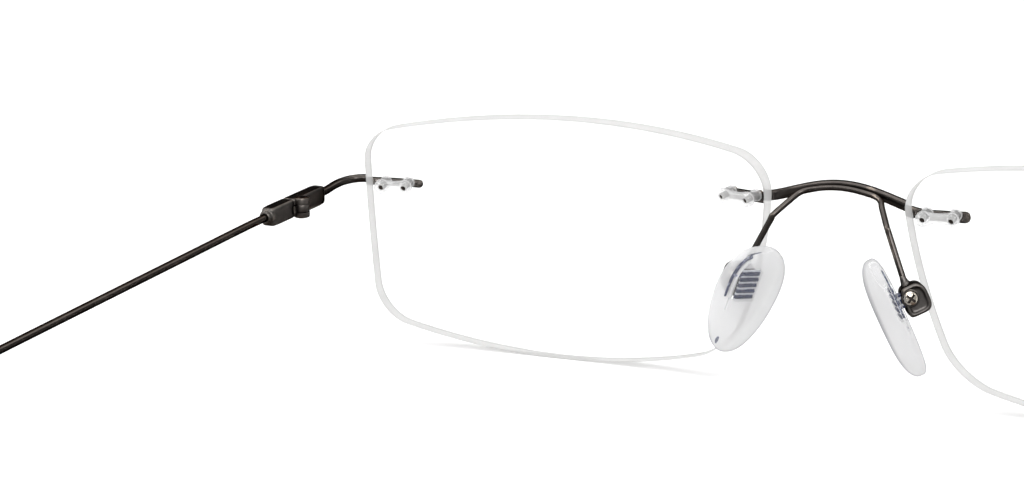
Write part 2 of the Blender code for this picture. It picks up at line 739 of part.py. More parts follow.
# ---------------------------------------------------------------- endpieces and hinges
def build_endpiece(hand):
    name = "endpiece_" + side_name(hand)
    points = [on_lens(hand, u, v, -(STANDOFF + END_R)) for u, v in END_ON_LENS]
    points += [sided(p, hand) for p in END_TO_BLOCK]
    path = catmull(points, 4)
    outward = (path[0] - path[1]).normalized()
    scales = [scale for _, scale in END_NOSE] + [1.0] * len(path)
    path = [path[0] + outward * reach for reach, _ in END_NOSE] + path
    ob = wire(name, path, END_R, sided(END_TO_BLOCK[-1], hand), scales=scales)
    add_pins(ob, hand, TEMPLE_HOLES, f"add_{name}_pin")


def hinge_origin(hand):
    return Vector((HINGE_X * hand, HINGE_Y, HINGE_MID_Z))


def hinge_cylinder(hand, z0, z1, radius, segments):
    """Upright cylinder on the hinge axis."""
    foot = Vector((HINGE_X * hand, HINGE_Y, 0))
    return cylinder(foot + Z * z0, foot + Z * z1, radius, segments)


def hinge_box(hand, low, high):
    """Box with x and y from the hinge axis and z from the table."""
    return box(Vector((HINGE_X * hand, HINGE_Y, 0)), (X * hand, Y, Z), low, high)


def wire_cylinder(hand, y0, y1, radius, end_radius=None):
    """Cylinder on the line the wires enter the blocks along."""
    line = Vector((WIRE_X * hand, 0, WIRE_Z))
    return cylinder(line + Y * y0, line + Y * y1, radius, 16, end_radius)


def hinge_block(name, hand, y0, y1):
    body = box(Vector((0, 0, 0)), (X * hand, Y, Z),
               (BLOCK_X0, y0, BLOCK_Z0), (BLOCK_X1, y1, BLOCK_Z1))
    ob = make_object(name, body, hinge_origin(hand), GUNMETAL_BLOCK)
    bevel(ob, BLOCK_BEVEL, 2)
    return ob


def cut_hinge_bore(ob, hand):
    bore = hinge_cylinder(hand, KNUCKLE_Z0 - 1, BLOCK_Z1 + 1, HINGE_SCREW_R + SCREW_GAP, 16)
    cut(ob, f"cut_{ob.name}_bore", bore, hinge_origin(hand))


def build_front_block(hand):
    name = "hinge_block_front_" + side_name(hand)
    origin = hinge_origin(hand)
    ob = hinge_block(name, hand, FRONT_Y0, FRONT_Y1)
    knuckle = hinge_cylinder(hand, KNUCKLE_Z0, BLOCK_Z1 - 0.02, KNUCKLE_R, 20)
    add(ob, "add_" + name, knuckle, origin)
    slot = hinge_box(hand, (SLOT_X[0], SLOT_Y[0], SLOT_Z0), (SLOT_X[1], SLOT_Y[1], SLOT_Z1))
    cut(ob, f"cut_{name}_slot", slot, origin)
    cut_hinge_bore(ob, hand)
    seat = hinge_cylinder(hand, BLOCK_Z1 - SEAT_DEPTH, BLOCK_Z1 + 1, SEAT_R, 20)
    cut(ob, f"cut_{name}_seat", seat, origin)
    hole = wire_cylinder(hand, FRONT_Y0 - 1, END_HOLE_Y, END_R + WIRE_GAP)
    cut(ob, f"cut_{name}_wire", hole, origin)


def build_rear_block(hand):
    name = "hinge_block_temple_" + side_name(hand)
    origin = hinge_origin(hand)
    ob = hinge_block(name, hand, REAR_Y0, REAR_Y1)
    z0, z1 = SLOT_Z0 + TONGUE_GAP, SLOT_Z1 - TONGUE_GAP
    knuckle = hinge_cylinder(hand, z0, z1, KNUCKLE_R - 0.02, 20)
    add(ob, f"add_{name}_knuckle", knuckle, origin)
    tongue = hinge_box(hand, (0.0, 0.0, z0), (TONGUE_X, TONGUE_Y, z1))
    add(ob, f"add_{name}_tongue", tongue, origin)
    collar = wire_cylinder(hand, REAR_Y1 - 0.5, REAR_Y1 + 0.55, 0.88, 0.76)
    add(ob, f"add_{name}_collar", collar, origin)
    cut_hinge_bore(ob, hand)
    hole = wire_cylinder(hand, TEMPLE_HOLE_Y, REAR_Y1 + 2, TEMPLE_R + WIRE_GAP)
    cut(ob, f"cut_{name}_wire", hole, origin)
    return ob


def build_hinge_screw(hand):
    name = "hinge_screw_" + side_name(hand)
    origin = hinge_origin(hand)
    top = BLOCK_Z1 - HINGE_MID_Z
    foot = KNUCKLE_Z0 - HINGE_MID_Z
    profile = (
        (0, top), (0.62, top), (HINGE_HEAD_R, top - 0.12), (HINGE_HEAD_R, top - HINGE_HEAD_T),
        (HINGE_SCREW_R, top - HINGE_HEAD_T), (HINGE_SCREW_R, foot + 0.05),
        (HINGE_TIP_R, foot - 0.05), (0, foot - 0.05),
    )
    ob = turned(name, profile, GUNMETAL_BLOCK, origin, Z)
    slot = box(origin + Z * top, (X, Y, Z),
               (-0.85, -SLOT_HALF_W, -0.18), (0.85, SLOT_HALF_W, 0.4))
    cut(ob, "cut_" + name, slot, origin)


# ---------------------------------------------------------------- temples
def temple_z(y):
    return WIRE_Z - TEMPLE_SLOPE * (y - SLOPE_START_Y)


def temple_path(hand):
    """Centre line from inside the hinge block to the end of the tip."""
    points = [Vector(p) for p in TEMPLE_START]
    points += [Vector((WIRE_X, y, temple_z(y))) for y in TEMPLE_STATIONS]
    bend_z = temple_z(EAR_BEND_Y)
    a0 = math.atan(TEMPLE_SLOPE)
    a1 = math.radians(EAR_DROP)
    for i in range(EAR_BEND_STEPS + 1):
        a = a0 + (a1 - a0) * i / EAR_BEND_STEPS
        points.append(Vector((WIRE_X, EAR_BEND_Y + EAR_BEND_R * (math.sin(a) - math.sin(a0)),
                              bend_z - EAR_BEND_R * (math.cos(a0) - math.cos(a)))))
    last = points[-1]
    run = (last.z - TIP_END_R - TABLE_GAP) / math.sin(a1)
    for i in range(1, DROP_STEPS + 1):
        reach = run * i / DROP_STEPS
        points.append(Vector((WIRE_X, last.y + reach * math.cos(a1),
                              last.z - reach * math.sin(a1))))
    end_y = points[-1].y
    for p in points:
        f = max(0.0, (p.y - INWARD_START_Y) / (end_y - INWARD_START_Y))
        p.x -= TIP_INWARD * f * f
    return [sided(p, hand) for p in points]


def build_temple_wire(hand):
    return wire("temple_wire_" + side_name(hand), temple_path(hand)[:-1], TEMPLE_R,
                hinge_origin(hand))


def oval(centre, side, up, half_w, half_h):
    angles = [2 * math.pi * k / TIP_SEGMENTS for k in range(TIP_SEGMENTS)]
    return [centre + side * (half_w * math.cos(a)) + up * (half_h * math.sin(a))
            for a in angles]


def build_tip(hand):
    """Sleeve over the wire's bent end: outer skin, with a bore closed at the far end."""
    frames = path_frames([p for p in temple_path(hand) if p.y >= TIP_FRONT_Y])
    total = len(frames) - 1
    outer, bore = [], []
    for i, (p, tangent, side, up) in enumerate(frames):
        growth = min(1.0, i / total / TIP_GROWTH_SHARE) ** TIP_GROWTH_POWER
        r = TIP_START_R + (TIP_END_R - TIP_START_R) * growth
        outer.append(oval(p, side, up, r * TIP_FLATNESS, r))
        if i < total:
            bore.append(oval(p, side, up, TIP_BORE_R, TIP_BORE_R))
    p, tangent = frames[-1][:2]
    cap = [[p + tangent * reach + (q - p) * k for q in outer[-1]] for reach, k in TIP_CAP]
    rings = list(reversed(bore)) + outer + cap
    return make_object("temple_tip_" + side_name(hand), skin(rings), hinge_origin(hand),
                       TIP_DARK, smooth=60)


# ---------------------------------------------------------------- assembly
def hang_on_axis(name, matrix, children):
    """Parents pieces, where they stand, to an empty on the axis they turn about."""
    empty = bpy.data.objects.new(name, None)
    empty.empty_display_size = 0.004
    empty.matrix_world = matrix
    parts.objects.link(empty)
    bpy.context.view_layer.update()
    for child in children:
        child.parent = empty
        child.matrix_parent_inverse = empty.matrix_world.inverted()


def build_side(hand, rim):
    build_lens(hand, rim)
    build_sleeve(hand, NOSE_HOLES, "nasal")
    build_sleeve(hand, TEMPLE_HOLES, "temporal")
    build_endpiece(hand)
    build_front_block(hand)
    temple = [build_rear_block(hand)]
    build_hinge_screw(hand)
    temple += [build_temple_wire(hand), build_tip(hand)]
    build_pad_box(hand)
    build_pad_screw(hand)
    pad = [build_nose_pad(hand), build_insert(hand)]
    _, _, side, pivot = pad_axes(hand)
    hang_on_axis("temple_hinge_axis_" + side_name(hand),
                 Matrix.Translation(hinge_origin(hand) * MM), temple)
    hang_on_axis("pad_rock_axis_" + side_name(hand), frame(pivot * MM, side), pad)


build_bridge_bar()
build_pad_arm_wire()
lens_rim = even_outline(RIM_POINTS)
for hand in (1, -1):
    build_side(hand, lens_rim)
bpy.context.view_layer.update()

# Moves the origin from the lens centres to under the middle of the pair's length
for ob in parts.objects[:] + cutters.objects[:]:
    if ob.parent is None:
        ob.location.y -= LENGTH_MIDDLE * MM
bpy.context.view_layer.update()
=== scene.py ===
import json
from math import atan, cos, exp, hypot, pi, radians, sin, sqrt

import bmesh
import bpy
from mathutils import Matrix, Vector


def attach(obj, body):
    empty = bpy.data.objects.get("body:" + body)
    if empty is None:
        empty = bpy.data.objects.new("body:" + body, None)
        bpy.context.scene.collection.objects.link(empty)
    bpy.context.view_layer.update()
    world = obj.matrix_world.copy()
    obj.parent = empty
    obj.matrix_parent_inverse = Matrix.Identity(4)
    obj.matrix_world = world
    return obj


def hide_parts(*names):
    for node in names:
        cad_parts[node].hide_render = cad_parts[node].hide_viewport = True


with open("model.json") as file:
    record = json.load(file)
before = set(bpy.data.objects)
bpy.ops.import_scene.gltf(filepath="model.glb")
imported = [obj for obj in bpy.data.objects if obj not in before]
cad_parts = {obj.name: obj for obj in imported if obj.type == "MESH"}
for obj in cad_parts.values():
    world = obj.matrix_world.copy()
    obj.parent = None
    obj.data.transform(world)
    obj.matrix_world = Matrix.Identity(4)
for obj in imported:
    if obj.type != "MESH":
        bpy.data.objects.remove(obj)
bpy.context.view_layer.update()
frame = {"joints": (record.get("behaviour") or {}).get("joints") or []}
MM = 0.001
X, Y, Z = Vector((1, 0, 0)), Vector((0, 1, 0)), Vector((0, 0, 1))
SIDES = {1: "left", -1: "right"}  # sign of x: name

# ---------------------------------------------------------------- shared sizes (mm, degrees)
# Lenses.  Lens coordinates: x outwards, y from the front face to the back, z up.
LENS_CENTRE = (38.9, 0.0, 17.4)
LENS_WRAP, LENS_TILT, LENS_RADIUS, LENS_THICK = 2.75, -1.6, 130.0, 2.4
# Outline edges (distance from centre, lean, curvature in 1/m): outer, top, nose side, bottom
EDGES = ((27.3, -2.0, 6.5), (14.63, -1.65, 7.1), (26.5, 24.3, 16.7), (17.3, -1.5, 13.3))
ROUNDS = (3.4, 4.7, 3.2, 3.6)  # corner radii, each between an edge and the next
FACE_INSET = 0.09              # from the outline to the flat of a face
# Pairs of holes: x of each, shared z
NOSE_HOLES = (-27.3, -23.75, 7.45)
TEMPLE_HOLES = (25.6, 22.6, 4.36)

# Bridge bar, in front of the lenses
BAR_STANDOFF, BAR_HALF_H, BAR_HALF_D = 0.36, 0.68, 0.50
BAR_END_X, BAR_Z_LENS, BAR_ARCH_RISE, BAR_ARCH_HALF, BAR_BOW = 16.6, 24.32, 2.45, 11.0, 0.25
BAR_LENS_X = 9.6               # the bar follows the lens from here outwards

# Pad arm wire, endpiece wire and temple wire
ARM_R, ARM_BEHIND = 0.385, BAR_HALF_D + 0.44
PAD_KINK = Vector((7.67, 6.05, 23.33))
WIRE_X, WIRE_Z, END_R, TEMPLE_R = 70.0, 21.22, 0.54, 0.50

# Hinge
BLOCK_HALF_W, BLOCK_Z0, BLOCK_Z1 = 0.95, 19.92, 22.40
FRONT_Y0, FRONT_Y1, REAR_Y0, REAR_Y1 = 11.70, 19.40, 19.45, 24.65
KNUCKLE_Z0, SLOT_Z0, SLOT_Z1 = 19.75, 20.50, 21.60
HINGE = Vector((68.8, 18.15, 0.0))  # foot of the left hinge axis

# Temple and ear tip
TEMPLE_SLOPE, EAR_BEND_Y, EAR_BEND_R, EAR_DROP = 0.0265, 121.0, 22.0, 38.0
TIP_START_Y, TIP_START_R, TIP_END_R, TIP_INWARD = 98.0, 0.95, 1.35, 3.2

# Nose pads.  Pad coordinates start at PIVOT: up, towards the nose, and side (back and outwards,
# the screw's axis).
PAD_UP, PAD_SIDE = Vector((-0.388, 0.096, 0.916)), Vector((0.529, 0.836, 0.145))
PIVOT = Vector((11.37, 7.87, 15.42))
PAD_CENTRE = (-1.53, 2.72, 0.78)    # up, nose, side
PAD_HALF_L, PAD_HALF_W, PAD_HALF_T, PAD_DOME = 7.75, 4.3, 1.30, 1.90
BOX_HALF_T, BOX_TOP = 1.45, 1.5
PAD_SCREW_R, PAD_BORE_R = 0.50, 0.53
CORE_HALF_L, CORE_HALF_W, RIDGE_PITCH = 2.18, 1.28, 0.86

# Sizes are drawn from the lens fronts back; the hinge joint places them in the frame.
fold = next(joint for joint in frame["joints"] if joint["name"] == "temple_left_fold")
ORIGIN = Vector((0.0, fold["pos_m"][1] * 1000 - HINGE.y, 0.0))


def sided(point, sign):
    """A point or direction of the left half, mirrored for sign -1."""
    return Vector((point[0] * sign, point[1], point[2]))


def pad_axes(sign):
    """Up, nose and side axes of a pad, and its pivot."""
    up = PAD_UP.normalized()
    side = (PAD_SIDE - up * PAD_SIDE.dot(up)).normalized()
    return [sided(vec, sign) for vec in (up, up.cross(side).normalized(), side, PIVOT)]


# ---------------------------------------------------------------- shader node builder
class Shading:
    """Builds the nodes of a material or world.  A tuple is an (r, g, b) colour."""

    def __init__(self, owner, output="OutputMaterial"):
        self.owner = owner
        owner.use_nodes = True
        self.tree = owner.node_tree
        self.tree.nodes.clear()
        self.output = self.new(output)

    def new(self, kind, **inputs):
        """Adds a node; an underscore in an input's name stands for a space."""
        node = self.tree.nodes.new("ShaderNode" + kind)
        for key, value in inputs.items():
            self.put(node.inputs[key.replace("_", " ")], value)
        return node

    def add(self, kind, **inputs):
        """Adds a node and gives its first output."""
        return self.new(kind, **inputs).outputs[0]

    def put(self, socket, value):
        if isinstance(value, bpy.types.NodeSocket):
            self.tree.links.new(value, socket)
        elif isinstance(value, tuple):
            socket.default_value = (*value, 1.0)
        else:
            socket.default_value = value

    def coords(self):
        return self.add("Mapping", Vector=self.new("TexCoord").outputs["Object"])

    def noise(self, scale, detail=3.0, rough=0.6):
        return self.new("TexNoise", Vector=self.coords(), Scale=scale, Detail=detail,
                        Roughness=rough).outputs["Fac"]

    def ramp(self, fac, *stops):
        """Colour ramp through (position, colour or grey) stops."""
        node = self.new("ValToRGB", Fac=fac)
        elements = node.color_ramp.elements
        while len(elements) < len(stops):
            elements.new(0.5)
        for element, (position, tone) in zip(elements, stops):
            element.position = position
            element.color = (*tone, 1.0) if isinstance(tone, tuple) else (tone, tone, tone, 1.0)
        return node.outputs["Color"]

    def mix_rgb(self, first, second, fac, blend="MIX"):
        node = self.new("Mix")
        node.data_type = "RGBA"
        node.blend_type = blend
        # a Mix node's sockets share names; these are the factor and the two colours
        for index, value in ((0, fac), (6, first), (7, second)):
            self.put(node.inputs[index], value)
        return node.outputs[2]

    def tinted(self, first, second, fac=1.0):
        return self.mix_rgb(first, second, fac, "MULTIPLY")

    def math(self, operation, first, second=0.0, clamp=False):
        node = self.new("Math")
        node.operation = operation
        node.use_clamp = clamp
        self.put(node.inputs[0], first)
        self.put(node.inputs[1], second)
        return node.outputs[0]

    def vector_math(self, operation, *values, output="Value"):
        node = self.new("VectorMath")
        node.operation = operation
        for socket, value in zip(node.inputs, values):
            self.put(socket, value)
        return node.outputs[output]

    def facing(self, blend=0.5):
        return self.new("LayerWeight", Blend=blend).outputs["Facing"]

    def bump(self, height, strength, distance):
        return self.add("Bump", Strength=strength, Distance=distance, Height=height)

    def mix(self, fac, first, second):
        node = self.new("MixShader")
        for index, value in enumerate((fac, first, second)):
            self.put(node.inputs[index], value)
        return node.outputs[0]

    def done(self, shader):
        self.put(self.output.inputs["Surface"], shader)
        return self.owner


def new_material(name):
    return Shading(bpy.data.materials.new(name))


# ---------------------------------------------------------------- materials
def satin_metal(name, dark, light, rough, grain, wear=(0.20, 0.17, 0.145)):
    """Plated metal: fine grain, drifting tone, brighter worn edges; painted light brightens it
    face-on and painted shade darkens it towards grazing.
    """
    mat = new_material(name)
    fine = mat.noise(grain, detail=4.0)
    broad = mat.noise(grain * 0.09, detail=2.0, rough=0.5)
    base = mat.ramp(broad, (0.30, dark), (0.72, light))
    base = mat.tinted(base, mat.ramp(fine, (0.35, 0.78), (0.70, 1.22)), fac=0.55)
    # painted light and shade: the base colour is brightened face-on and darkened towards grazing
    grazing = mat.ramp(mat.facing(blend=0.45), (0.0, 1.5), (0.32, 1.15), (0.62, 0.55), (1.0, 0.25))
    base = mat.tinted(base, grazing)
    edge = mat.ramp(mat.new("NewGeometry").outputs["Pointiness"], (0.52, 0.0), (0.60, 1.0))
    patches = mat.noise(grain * 0.35, rough=0.7)
    rub = mat.math("MULTIPLY", edge, mat.ramp(patches, (0.38, 0.15), (0.62, 0.75)))
    return mat.done(mat.add(
        "BsdfPrincipled",
        Base_Color=mat.mix_rgb(base, wear, rub),
        Metallic=1.0,
        Roughness=mat.ramp(broad, (0.25, rough - 0.05), (0.75, rough + 0.07)),
        Specular_Tint=(0.25, 0.23, 0.22),
        Normal=mat.bump(fine, strength=0.25, distance=0.00002)))


def nickel_material():
    mat = new_material("nickel_bright")
    fine = mat.noise(scale=2400.0)
    broad = mat.noise(scale=480.0, detail=2.0, rough=0.5)
    tone = mat.ramp(broad, (0.3, (0.46, 0.42, 0.36)), (0.7, (0.66, 0.62, 0.55)))
    # painted shade: the base colour darkens towards grazing
    grazing = mat.ramp(mat.facing(blend=0.4), (0.0, 1.0), (0.5, 0.80), (0.85, 0.30))
    return mat.done(mat.add(
        "BsdfPrincipled",
        Base_Color=mat.tinted(tone, grazing),
        Metallic=1.0,
        Roughness=mat.ramp(fine, (0.3, 0.15), (0.7, 0.28)),
        Normal=mat.bump(fine, strength=0.2, distance=0.00001)))


def pad_coord(mat, sign, axis):
    """Pad coordinate of the shaded point in mm; axis 0 is up, 1 nose, 2 side."""
    axes = pad_axes(sign)
    offset = mat.vector_math("SUBTRACT", mat.coords(), (axes[3] + ORIGIN) * MM, output="Vector")
    return mat.vector_math("DOT_PRODUCT", offset, axes[axis] * 1000)


# Flecks in a pad's face away from the nose: up, side, half size along each, tilt
FLECKS = ((-8.35, 1.55, 0.42, 0.30, 0.5),   # by its lower end
          (4.55, 0.35, 0.13, 0.95, 0.25))   # a short line near its top


def pad_flecks(mat, sign):
    """Mask of the two flecks."""
    up, nose, side = (pad_coord(mat, sign, axis) for axis in range(3))
    spots = []
    for up0, side0, half_up, half_side, tilt in FLECKS:
        lean = mat.math("ADD", mat.math("SUBTRACT", up, up0),
                        mat.math("MULTIPLY", mat.math("SUBTRACT", side, side0), tilt))
        far_up = mat.math("DIVIDE", lean, half_up)
        far_side = mat.math("DIVIDE", mat.math("SUBTRACT", side, side0), half_side)
        square = mat.math("ADD", mat.math("MULTIPLY", far_up, far_up),
                          mat.math("MULTIPLY", far_side, far_side))
        spots.append(mat.math("LESS_THAN", square, 1.0))
    return mat.math("MULTIPLY", mat.math("MAXIMUM", *spots),
                    mat.math("LESS_THAN", nose, PAD_CENTRE[1] - 0.2))


def clear_plastic(name, tint_and_rim_shade, body, milky, gloss, rough, grain, cloud, far_milky=0.0, flecks=0):
    """Clear moulded part, with painted shade making it darker where its skin turns away.

    tint_and_rim_shade: ramp stops from face-on to grazing, its darker grazing end a painted rim
    shade; milky, far_milky: share of the scattering body colour in near and far skin; cloud: depth
    of the tone drift; flecks: side sign of a pad, or 0.
    """
    mat = new_material(name)
    drift = mat.noise(grain * 0.15, detail=2.0, rough=0.5)
    fine = mat.noise(grain)
    normal = mat.bump(fine, strength=0.12, distance=0.00002)
    # painted shade: the see-through colour darkens towards grazing, drawing a darker rim
    colour = mat.ramp(mat.facing(), *tint_and_rim_shade)
    colour = mat.tinted(colour, mat.ramp(drift, (0.3, 1.0 - cloud), (0.7, 1.0)))
    clear = mat.add("BsdfTransparent", Color=colour)
    milk = mat.add("BsdfDiffuse", Color=body, Normal=normal)
    soft = mat.mix(0.5, milk, mat.add("BsdfTranslucent", Color=body))
    core = mat.mix(milky, clear, soft)
    shine = mat.add("BsdfGlossy", Roughness=rough, Normal=normal)
    fresnel = mat.add("Fresnel", IOR=1.45)
    inside = mat.new("NewGeometry").outputs["Backfacing"]
    outside = mat.math("SUBTRACT", 1.0, inside)
    shine_cap = 0.09
    sheen = mat.math("MINIMUM", mat.math("MULTIPLY", fresnel, gloss, clamp=True), shine_cap)
    sheen = mat.math("MULTIPLY", sheen, outside)
    # the far skin scatters, so what lies inside shows and what lies behind fades
    far = mat.mix(far_milky, mat.add("BsdfTransparent"), soft)
    core = mat.mix(inside, core, far)
    if flecks:
        # dark navy marks set into the pad's colour
        mask = pad_flecks(mat, flecks)
        tone = mat.ramp(fine, (0.4, (0.020, 0.026, 0.075)), (0.6, (0.07, 0.08, 0.16)))
        navy_mark = mat.add("BsdfDiffuse", Color=tone)
        navy_mark_share = 0.85
        core = mat.mix(mat.math("MULTIPLY", mask, navy_mark_share), core, navy_mark)
    return mat.done(mat.mix(sheen, core, shine))


def lens_face_material():
    """Polished optical resin: bends what lies behind it, lets lamp light through to the floor."""
    mat = new_material("lens_polished")
    smear = mat.noise(scale=260.0)
    bend = mat.add("BsdfRefraction", IOR=1.5, Roughness=0.0,
                   Color=mat.ramp(smear, (0.35, (0.994, 0.995, 0.995)), (0.75, 1.0)))
    shine = mat.add("BsdfGlossy", Roughness=mat.ramp(smear, (0.3, 0.02), (0.8, 0.07)))
    fresnel = mat.add("Fresnel", IOR=1.5)
    inside = mat.new("NewGeometry").outputs["Backfacing"]
    outside = mat.math("SUBTRACT", 1.0, inside)
    shine_share = 0.35
    sheen = mat.math("MULTIPLY", mat.math("MULTIPLY", fresnel, shine_share, clamp=True), outside)
    glass = mat.mix(sheen, bend, shine)
    plain = mat.add("BsdfTransparent", Color=(0.985, 0.985, 0.985))
    path = mat.new("LightPath").outputs
    # past the critical angle a ray inside the lens can't leave by bending: it goes straight on
    critical = 0.25
    steep = mat.math("MULTIPLY", mat.math("GREATER_THAN", mat.facing(), critical), inside)
    straight = mat.math("MAXIMUM", path["Is Shadow Ray"], path["Is Diffuse Ray"])
    return mat.done(mat.mix(mat.math("MAXIMUM", steep, straight), glass, plain))


def lens_edge_material():
    """Ground lens edge: pale, finely frosted, half see-through, with painted shade as darker lines
    by the faces and a painted glow.
    """
    mat = new_material("lens_ground_edge")
    attribute = mat.new("Attribute")
    attribute.attribute_name = "rim_depth"
    depth = attribute.outputs["Fac"]
    grind = mat.noise(scale=5200.0, detail=4.0, rough=0.65)
    drift = mat.noise(scale=420.0, detail=2.0, rough=0.5)
    # painted shade: the tone darkens in thin lines near each face
    tone = mat.ramp(
        depth, (0.0, (0.60, 0.597, 0.593)), (0.06, (0.52, 0.517, 0.513)),
        (0.16, (0.70, 0.697, 0.692)), (0.50, (0.74, 0.737, 0.732)), (0.84, (0.71, 0.707, 0.702)),
        (0.94, (0.54, 0.537, 0.533)), (1.0, (0.62, 0.617, 0.612)))
    tone = mat.tinted(tone, mat.ramp(grind, (0.35, 0.92), (0.7, 1.05)), fac=0.8)
    tone = mat.tinted(tone, mat.ramp(drift, (0.3, 0.95), (0.7, 1.03)))
    normal = mat.bump(grind, strength=0.35, distance=0.00002)
    matt = mat.add("BsdfDiffuse", Color=tone, Normal=normal)
    # painted glow: an emission stands in for the light guided along inside the lens that leaves
    # through its ground edge
    painted_edge_glow = mat.add("Emission", Color=tone, Strength=0.94)
    clear = mat.add("BsdfTransparent", Color=(0.80, 0.798, 0.796))
    painted_edge_glow_share, shine_share = 0.80, 0.03
    solid = mat.mix(painted_edge_glow_share, matt, painted_edge_glow)
    opacity = mat.ramp(depth, (0.0, 0.72), (0.5, 0.74), (1.0, 0.78))
    core = mat.mix(opacity, clear, solid)
    shine = mat.add("BsdfGlossy", Roughness=0.45, Normal=normal)
    return mat.done(mat.mix(shine_share, core, shine))


def core_material(sign):
    """Thin ridged metal core: navy in the hollows, silver where a ridge catches light."""
    mat = new_material("pad_core_" + SIDES[sign])
    fine = mat.noise(scale=2600.0)
    blotch = mat.noise(scale=900.0, detail=2.0)
    waver = 0.28
    ridge = mat.math("ADD", mat.math("DIVIDE", pad_coord(mat, sign, 0), RIDGE_PITCH),
                     mat.math("MULTIPLY", blotch, waver))
    # painted highlight: the silver band on each ridge is set in the base colour
    tone = mat.ramp(
        mat.math("FRACT", ridge), (0.0, (0.012, 0.020, 0.070)), (0.42, (0.018, 0.030, 0.095)),
        (0.54, (0.55, 0.58, 0.66)), (0.76, (0.80, 0.81, 0.84)), (0.90, (0.02, 0.03, 0.09)))
    return mat.done(mat.add(
        "BsdfPrincipled",
        Base_Color=mat.tinted(tone, mat.ramp(fine, (0.35, 0.65), (0.7, 1.2)), fac=0.7),
        Metallic=0.35,
        Roughness=0.38,
        Normal=mat.bump(fine, strength=0.3, distance=0.00002)))


def streak_material(name, dark, light, share):
    """Blotchy streak colour: one of two tones, changing over a fraction of a millimetre."""
    mat = new_material(name)
    blotch = mat.noise(scale=1500.0, rough=0.65)
    return mat.done(mat.add(
        "BsdfPrincipled",
        Base_Color=mat.ramp(blotch, (share - 0.05, dark), (share + 0.05, light)),
        Metallic=0.35,
        Roughness=0.4,
        Normal=mat.bump(blotch, strength=0.3, distance=0.00002)))


def tip_material():
    mat = new_material("ear_tip_plastic")
    fine = mat.noise(scale=1800.0, detail=4.0)
    broad = mat.noise(scale=90.0, detail=2.0, rough=0.5)
    tone = mat.ramp(broad, (0.3, (0.030, 0.026, 0.024)), (0.7, (0.052, 0.044, 0.040)))
    return mat.done(mat.add(
        "BsdfPrincipled",
        Base_Color=mat.tinted(tone, mat.ramp(fine, (0.35, 0.85), (0.7, 1.15)), fac=0.7),
        Roughness=mat.ramp(fine, (0.3, 0.30), (0.7, 0.42)),
        Coat_Weight=0.25,
        Coat_Roughness=0.25,
        Normal=mat.bump(fine, strength=0.25, distance=0.00003)))


WIRE_METAL = satin_metal("gunmetal_satin_wire", dark=(0.0265, 0.0240, 0.0225),
                         light=(0.044, 0.0395, 0.0365), rough=0.22, grain=1500.0)
BLOCK_METAL = satin_metal("gunmetal_satin_block", dark=(0.044, 0.0415, 0.040),
                          light=(0.064, 0.060, 0.0575), rough=0.33, grain=1300.0,
                          wear=(0.17, 0.15, 0.13))
# dark plated metal of the hinge screws, also used as painted shade on the walls of the pad screws'
# slots
SCREW_DARK_AND_SLOT_SHADE = satin_metal("plated_screw_dark_and_slot_shade", dark=(0.035, 0.030, 0.028),
                         light=(0.065, 0.056, 0.050), rough=0.26, grain=2100.0)
NICKEL = nickel_material()
LENS_FACE = lens_face_material()
LENS_EDGE = lens_edge_material()
# each tint_and_rim_shade ramp ends darker at grazing: painted rim shade
LENS_BORE = clear_plastic(
    "lens_bore_wall", tint_and_rim_shade=((0.0, 0.97), (0.60, 0.93), (0.98, 0.72)), body=(0.93, 0.93, 0.93),
    milky=0.12, gloss=0.4, rough=0.25, grain=2100.0, cloud=0.03)
SLEEVE = clear_plastic(
    "sleeve_clear_nylon", tint_and_rim_shade=((0.0, 0.985), (0.52, 0.955), (0.96, 0.62)),
    body=(0.90, 0.90, 0.90), milky=0.26, gloss=0.9, rough=0.10, grain=1900.0, cloud=0.03,
    far_milky=0.50)
PAD = {sign: clear_plastic(
    "pad_clear_silicone_" + tag,
    tint_and_rim_shade=((0.0, (0.970, 0.970, 0.972)), (0.60, (0.945, 0.945, 0.948)), (0.955, (0.42, 0.42, 0.44))),
    body=(0.725, 0.725, 0.73), milky=0.12, gloss=0.5, rough=0.16, grain=1500.0, cloud=0.04,
    far_milky=0.80, flecks=sign) for sign, tag in SIDES.items()}
PAD_POCKET = clear_plastic(
    "pad_pocket_wall",
    tint_and_rim_shade=((0.0, (0.975, 0.975, 0.98)), (0.66, (0.955, 0.955, 0.96)), (0.985, (0.80, 0.80, 0.83))),
    body=(0.70, 0.70, 0.715), milky=0.03, gloss=0.3, rough=0.16, grain=1500.0, cloud=0.04,
    far_milky=0.03)
TIP = tip_material()
# painted reflection: the navy streak stands for the core mirrored in the pad's edge
NAVY_CORE_REFLECTION = streak_material("painted_core_reflection_navy", dark=(0.012, 0.022, 0.085),
                          light=(0.42, 0.46, 0.60), share=0.58)
PALE_STREAK = streak_material("pale_streak_silver", dark=(0.40, 0.43, 0.52),
                            light=(0.90, 0.90, 0.91), share=0.36)


# ---------------------------------------------------------------- curves and sections
def circle(count, start=0.0):
    """Even angles round a full turn."""
    return [2 * pi * (i + start) / count for i in range(count)]


def oval(centre, side, rise, wide, high, segs):
    return [centre + side * (wide * cos(angle)) + rise * (high * sin(angle))
            for angle in circle(segs)]


def super_point(angle, power):
    """Point of a unit superellipse in the direction of angle."""
    x, y = cos(angle), sin(angle)
    reach = (abs(x) ** power + abs(y) ** power) ** (-1 / power)
    return x * reach, y * reach


def super_section(count, half_w, half_h, power):
    points = [super_point(angle, power) for angle in circle(count, start=0.5)]
    return [(half_w * x, half_h * y) for x, y in points]


def bisect(low, high, steps, below):
    """The value up to which below() holds."""
    for _ in range(steps):
        middle = (low + high) / 2
        if below(middle):
            low = middle
        else:
            high = middle
    return low


